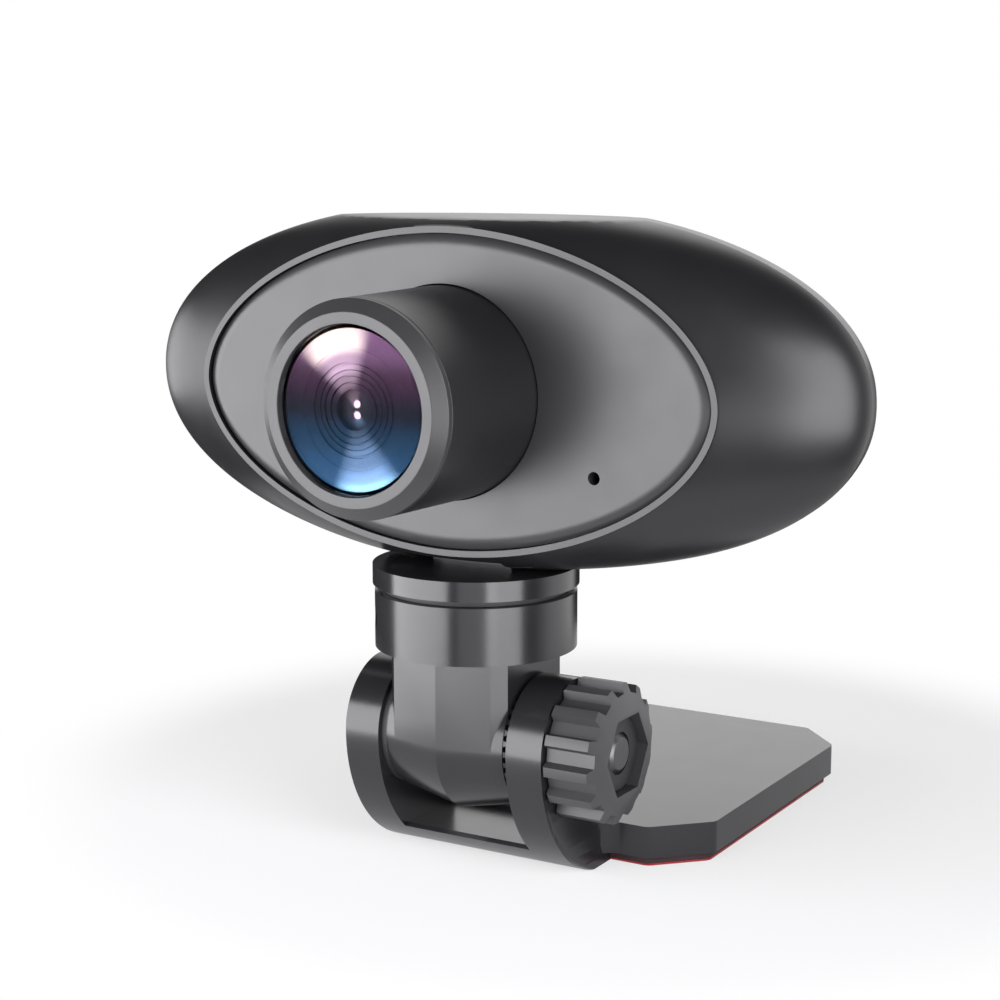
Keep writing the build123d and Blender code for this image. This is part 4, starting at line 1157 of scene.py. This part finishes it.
class DASHCAM_OT_knob(bpy.types.Operator):
    """Clamping knob with its nut, bolt and washers"""

    bl_idname = "dashcam.knob"
    bl_label = "Knob and bolt"

    def execute(self, context):
        settings = context.scene.dash_camera_knob
        sizes = Millimetres(settings)
        low, high = span("knob")
        radius, depth, shank = sizes.radius, sizes.flute_depth, sizes.bolt_radius
        half_floor, half_mouth = sizes.flute_floor / 2, sizes.flute_mouth / 2
        pitch, floor_radius = 360 / settings.flutes, radius - depth
        # Where the sloping side of a groove leaves the knob's round outside.
        share = 0.76
        side_x = floor_radius + 1.2 * depth * share
        side_y = half_floor + (half_mouth - half_floor) * share
        mouth, foot = atan2(side_y, side_x), atan2(half_floor, floor_radius)
        foot_reach = sqrt(floor_radius**2 + half_floor**2)
        groove = [(-mouth, radius), (-foot, foot_reach), (foot, foot_reach)]
        following = radians(pitch) - mouth
        outline = []
        for i in range(settings.flutes):
            turn = radians(pitch * i - 6.5)
            for angle, reach in groove:
                outline.append((reach * cos(turn + angle), reach * sin(turn + angle)))
            for j in range(4):
                angle = turn + mouth + (following - mouth) * j / 4
                outline.append((radius * cos(angle), radius * sin(angle)))
        start = Vector((low.x, PIVOT.y, PIVOT.z))
        knob = prism("Knob", outline, start, BACK, UP, high.x - low.x)
        profile = [(0, low.x), (radius - 0.15, low.x), (radius + 0.01, low.x + 0.15)]
        profile += [(radius + 0.01, high.x - sizes.cone), (sizes.face_radius, high.x)]
        profile += [(0, high.x)]
        keep_within(knob, turned("Envelope", profile, RIGHT, PIVOT, 192))
        nut_low, nut_high = lowest("knob_nut").x, highest("knob_nut").x
        cut(knob, hex_bar("Pocket", sizes.pocket, nut_low, 20))
        cut(knob, rod("Bore", PIVOT, RIGHT, shank + 0.16, 40, 64))
        soften(merge_flats(knob), 0.07, 2, 25)
        fit(knob, "tilt_knob", "knob", "knob", "knob")

        nut = hex_bar("Knob_nut", HEX_FLATS, nut_low, nut_high - nut_low)
        profile = [(0, nut_low), (3.5, nut_low), (4.1, nut_low + 0.35)]
        profile += [(4.1, nut_high - 0.35), (3.5, nut_high), (0, nut_high)]
        keep_within(nut, turned("Rounding", profile, RIGHT, PIVOT, 96))
        cut(nut, rod("Bore", PIVOT, RIGHT, shank + BORE_GAP, 40))
        soften(merge_flats(nut), 0.05)
        fit(nut, "tilt_knob", "black", "black_hardware", "knob_nut")

        head, end = lowest("pivot_bolt").x, highest("pivot_bolt").x
        bolt = hex_bar("Pivot_bolt", HEX_FLATS, head, HEX_HEIGHT)
        profile = [(0, head), (3.2, head), (4.1, head + 0.45)]
        profile += [(4.1, head + HEX_HEIGHT), (0, head + HEX_HEIGHT)]
        keep_within(bolt, turned("Rounding", profile, RIGHT, PIVOT, 96))
        profile = [(0, head + 2.5), (shank, head + 2.5), (shank, end - 0.45)]
        profile += [(shank - 0.45, end), (0, end)]
        fuse(bolt, turned("Shaft", profile, RIGHT, PIVOT, 64))
        soften(merge_flats(bolt), 0.05)
        fit(bolt, "base", "bolt", "hardware", "pivot_bolt")

        for name, node, key, slot_name in (
            ("Pivot_washer", "pivot_washer", "washer", "friction"),
            ("Knob_washer", "knob_washer", "steel", "hardware"),
        ):
            low, high = span(node)
            edge, bore = (high.y - low.y) / 2, shank + BORE_GAP
            profile = [(bore, low.x), (edge, low.x), (edge, high.x), (bore, high.x)]
            washer = turned(name, profile, RIGHT, PIVOT, 96)
            fit(soften(washer, 0.04), "base", key, slot_name, node)
        return {"FINISHED"}


class DASHCAM_OT_electronics(bpy.types.Operator):
    """Finishes for the boards, sensor and other pieces inside the camera"""

    bl_idname = "dashcam.electronics"
    bl_label = "Electronics"

    def execute(self, context):
        finishes = {
            "black": ["aperture_disc", "sensor_holder"],
            "steel": ["lens_spacer"],
            "black_steel": ["lens_lock_ring"],
            "glass": ["ir_filter"],
            "chip": ["image_sensor", "reset_switch", "speaker", "microphone"],
            "board": ["sensor_board", "main_board", "port_board"],
            "brass": ["flex_cable", "board_stack_pins"],
            "tin": ["card_socket"],
            "sleeve": ["supercapacitors"],
            "boot": ["microphone_boot"],
        }
        for key, nodes in finishes.items():
            for node in nodes:
                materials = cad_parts[node].data.materials
                materials.clear()
                materials.append(finish_for(key))
        return {"FINISHED"}


# ------------------------------------------------------------------------- studio


def aim_from(name, data, place, direction):
    """Set a lamp or camera at a place, turned to look along a direction."""
    holder = bpy.data.objects.new(name, data)
    holder.location = place
    holder.rotation_euler = Vector(direction).to_track_quat("-Z", "Y").to_euler()
    bpy.context.scene.collection.objects.link(holder)
    return holder


def softbox(name, azimuth, distance, height, width, low, radiance):
    """Rectangular lamp round the swivel axis, azimuth degrees from the front towards the
    knob's side, as bright as radiance says whatever its size."""
    tall = height - low
    lamp = bpy.data.lights.new(name, "AREA")
    lamp.shape = "RECTANGLE"
    lamp.size, lamp.size_y = width, tall
    lamp.energy = radiance * pi * width * tall
    lamp.color = (0.97, 0.965, 1.0)
    turn = radians(azimuth)
    centre = Vector((0, SWIVEL_Y / 1000, (height + low) / 2))
    place = centre + Vector((distance * sin(turn), -distance * cos(turn), 0))
    aim_from(name, lamp, place, centre - place)


def floor_paint(settings):
    """Pale floor: a plain white backdrop that still takes part of the object's shadow."""
    paint, tree, shader, place = new_finish("Floor paint")
    wire(tree, shader, Base_Color=(0.9, 0.9, 0.905, 1), Roughness=0.9, Specular_IOR_Level=0.0)
    rays = add(tree, "LightPath").outputs
    mirrored = product(tree, rays["Is Glossy Ray"], 0.5)
    seen = math_node(tree, "MAXIMUM", rays["Is Camera Ray"], mirrored)
    seen = math_node(tree, "MAXIMUM", seen, rays["Is Transmission Ray"])
    near = fade(tree, operate(tree, "VectorMath", "LENGTH", place), 0.074, 0.05)
    plain = math_node(tree, "SUBTRACT", 1.0, product(tree, near, settings.shadow))
    # The lamps light the floor to a little less than white, which this makes up for.
    lift = math_node(tree, "ADD", product(tree, near, 0.16), 1.0)
    glow = add(tree, "Emission", Color=(1, 1, 1, 1), Strength=lift)
    mix = add(tree, "MixShader", Fac=product(tree, plain, seen))
    tree.links.new(shader.outputs["BSDF"], mix.inputs[1])
    tree.links.new(glow.outputs["Emission"], mix.inputs[2])
    wire(tree, tree.nodes["Material Output"], Surface=mix.outputs["Shader"])
    return paint


def studio_world(settings):
    """White backdrop all round for the eye, a white one behind the object for gloss and
    a dim even light for everything else."""
    world = bpy.data.worlds.new("Studio")
    world.use_nodes = True
    tree = world.node_tree
    rays = add(tree, "LightPath").outputs
    room = add(tree, "TexCoord").outputs["Generated"]
    x, y, z = add(tree, "SeparateXYZ", Vector=room).outputs
    behind = fade(tree, y, 0.1, 0.6)
    under = product(tree, fade(tree, z, 0.86, 0.6), fade(tree, x, -0.72, -0.5))
    # The floor behind the object is dim on the left.
    above = math_node(tree, "MAXIMUM", fade(tree, z, 0.0, 0.13), fade(tree, x, 0.0, 0.35))
    gloss = math_node(tree, "MAXIMUM", product(tree, behind, under, above, 1.6), 0.03)
    gloss = product(tree, gloss, rays["Is Glossy Ray"])
    direct = math_node(tree, "MAXIMUM", rays["Is Camera Ray"], rays["Is Transmission Ray"])
    strength = math_node(tree, "MAXIMUM", gloss, direct)
    shown = math_node(tree, "MAXIMUM", direct, rays["Is Glossy Ray"])
    even = product(tree, math_node(tree, "SUBTRACT", 1.0, shown), settings.fill)
    strength = math_node(tree, "ADD", strength, even)
    wire(tree, tree.nodes["Background"], Color=(1, 1, 1, 1), Strength=strength)
    return world


class DASHCAM_OT_studio(bpy.types.Operator):
    """Pale floor, softboxes and camera"""

    bl_idname = "dashcam.studio"
    bl_label = "Studio"

    def execute(self, context):
        settings = context.scene.dash_camera_studio
        scene = context.scene
        bm = bmesh.new()
        bmesh.ops.create_circle(bm, cap_ends=True, radius=0.078, segments=96)
        mesh = bpy.data.meshes.new("Floor")
        bm.to_mesh(mesh)
        bm.free()
        floor = bpy.data.objects.new("Floor", mesh)
        scene.collection.objects.link(floor)
        floor.location.z = -0.00005
        mesh.materials.append(floor_paint(settings))
        scene.world = studio_world(settings)
        softbox("Key", -36, 0.25, 0.13, 0.36, -0.06, settings.key)
        softbox("Side", 62, 0.25, 0.24, 0.18, -0.06, settings.side)
        softbox("Front", 32, 0.26, 0.05, 0.2, -0.06, settings.front)
        softbox("Left", -92, 0.2, 0.08, 0.13, 0.004, settings.left)

        camera = bpy.data.cameras.new("Camera")
        camera.lens = settings.focal_length
        camera.sensor_width = 36.0
        camera.clip_start, camera.clip_end = 0.01, 20
        place, forward = (0.10306, -0.19595, 0.07005), (-0.50079, 0.84882, -0.16947)
        scene.camera = aim_from("Camera", camera, place, forward)
        scene.view_settings.view_transform = "Standard"
        return {"FINISHED"}


class DASHCAM_PT_panel(bpy.types.Panel):
    """Lists the dash camera's pieces"""

    bl_label = "Dash Camera"
    bl_idname = "DASHCAM_PT_panel"
    bl_space_type = "VIEW_3D"
    bl_region_type = "UI"
    bl_category = "Dash Camera"

    def draw(self, context):
        for name, group, operators in ROWS:
            box = self.layout.box()
            for setting in group.__annotations__:
                box.prop(getattr(context.scene, name), setting)
            for operator in operators:
                box.operator(operator.bl_idname)


# Each group of settings, under its name in the scene, with the operators that read it.
ROWS = [
    ("dash_camera_finishes", DashCameraFinishes, [DASHCAM_OT_electronics]),
    ("dash_camera_housing", DashCameraHousing, [DASHCAM_OT_housing, DASHCAM_OT_front_panel]),
    ("dash_camera_lens", DashCameraLens, [DASHCAM_OT_lens, DASHCAM_OT_back_fittings]),
    (
        "dash_camera_mount",
        DashCameraMount,
        [DASHCAM_OT_swivel, DASHCAM_OT_knuckle, DASHCAM_OT_fork, DASHCAM_OT_pad],
    ),
    ("dash_camera_knob", DashCameraKnob, [DASHCAM_OT_knob]),
    ("dash_camera_studio", DashCameraStudio, [DASHCAM_OT_studio]),
]


def register():
    for name, group, operators in ROWS:
        bpy.utils.register_class(group)
        setattr(bpy.types.Scene, name, PointerProperty(type=group))
        for operator in operators:
            bpy.utils.register_class(operator)
    bpy.utils.register_class(DASHCAM_PT_panel)


def unregister():
    bpy.utils.unregister_class(DASHCAM_PT_panel)
    for name, group, operators in reversed(ROWS):
        for operator in operators:
            bpy.utils.unregister_class(operator)
        delattr(bpy.types.Scene, name)
        bpy.utils.unregister_class(group)


def main():
    register()
    bpy.ops.dashcam.housing()
    bpy.ops.dashcam.front_panel()
    bpy.ops.dashcam.lens()
    bpy.ops.dashcam.back_fittings()
    bpy.ops.dashcam.swivel()
    bpy.ops.dashcam.knuckle()
    bpy.ops.dashcam.fork()
    bpy.ops.dashcam.pad()
    bpy.ops.dashcam.knob()
    bpy.ops.dashcam.electronics()
    bpy.ops.dashcam.studio()


if __name__ == "__main__":
    main()
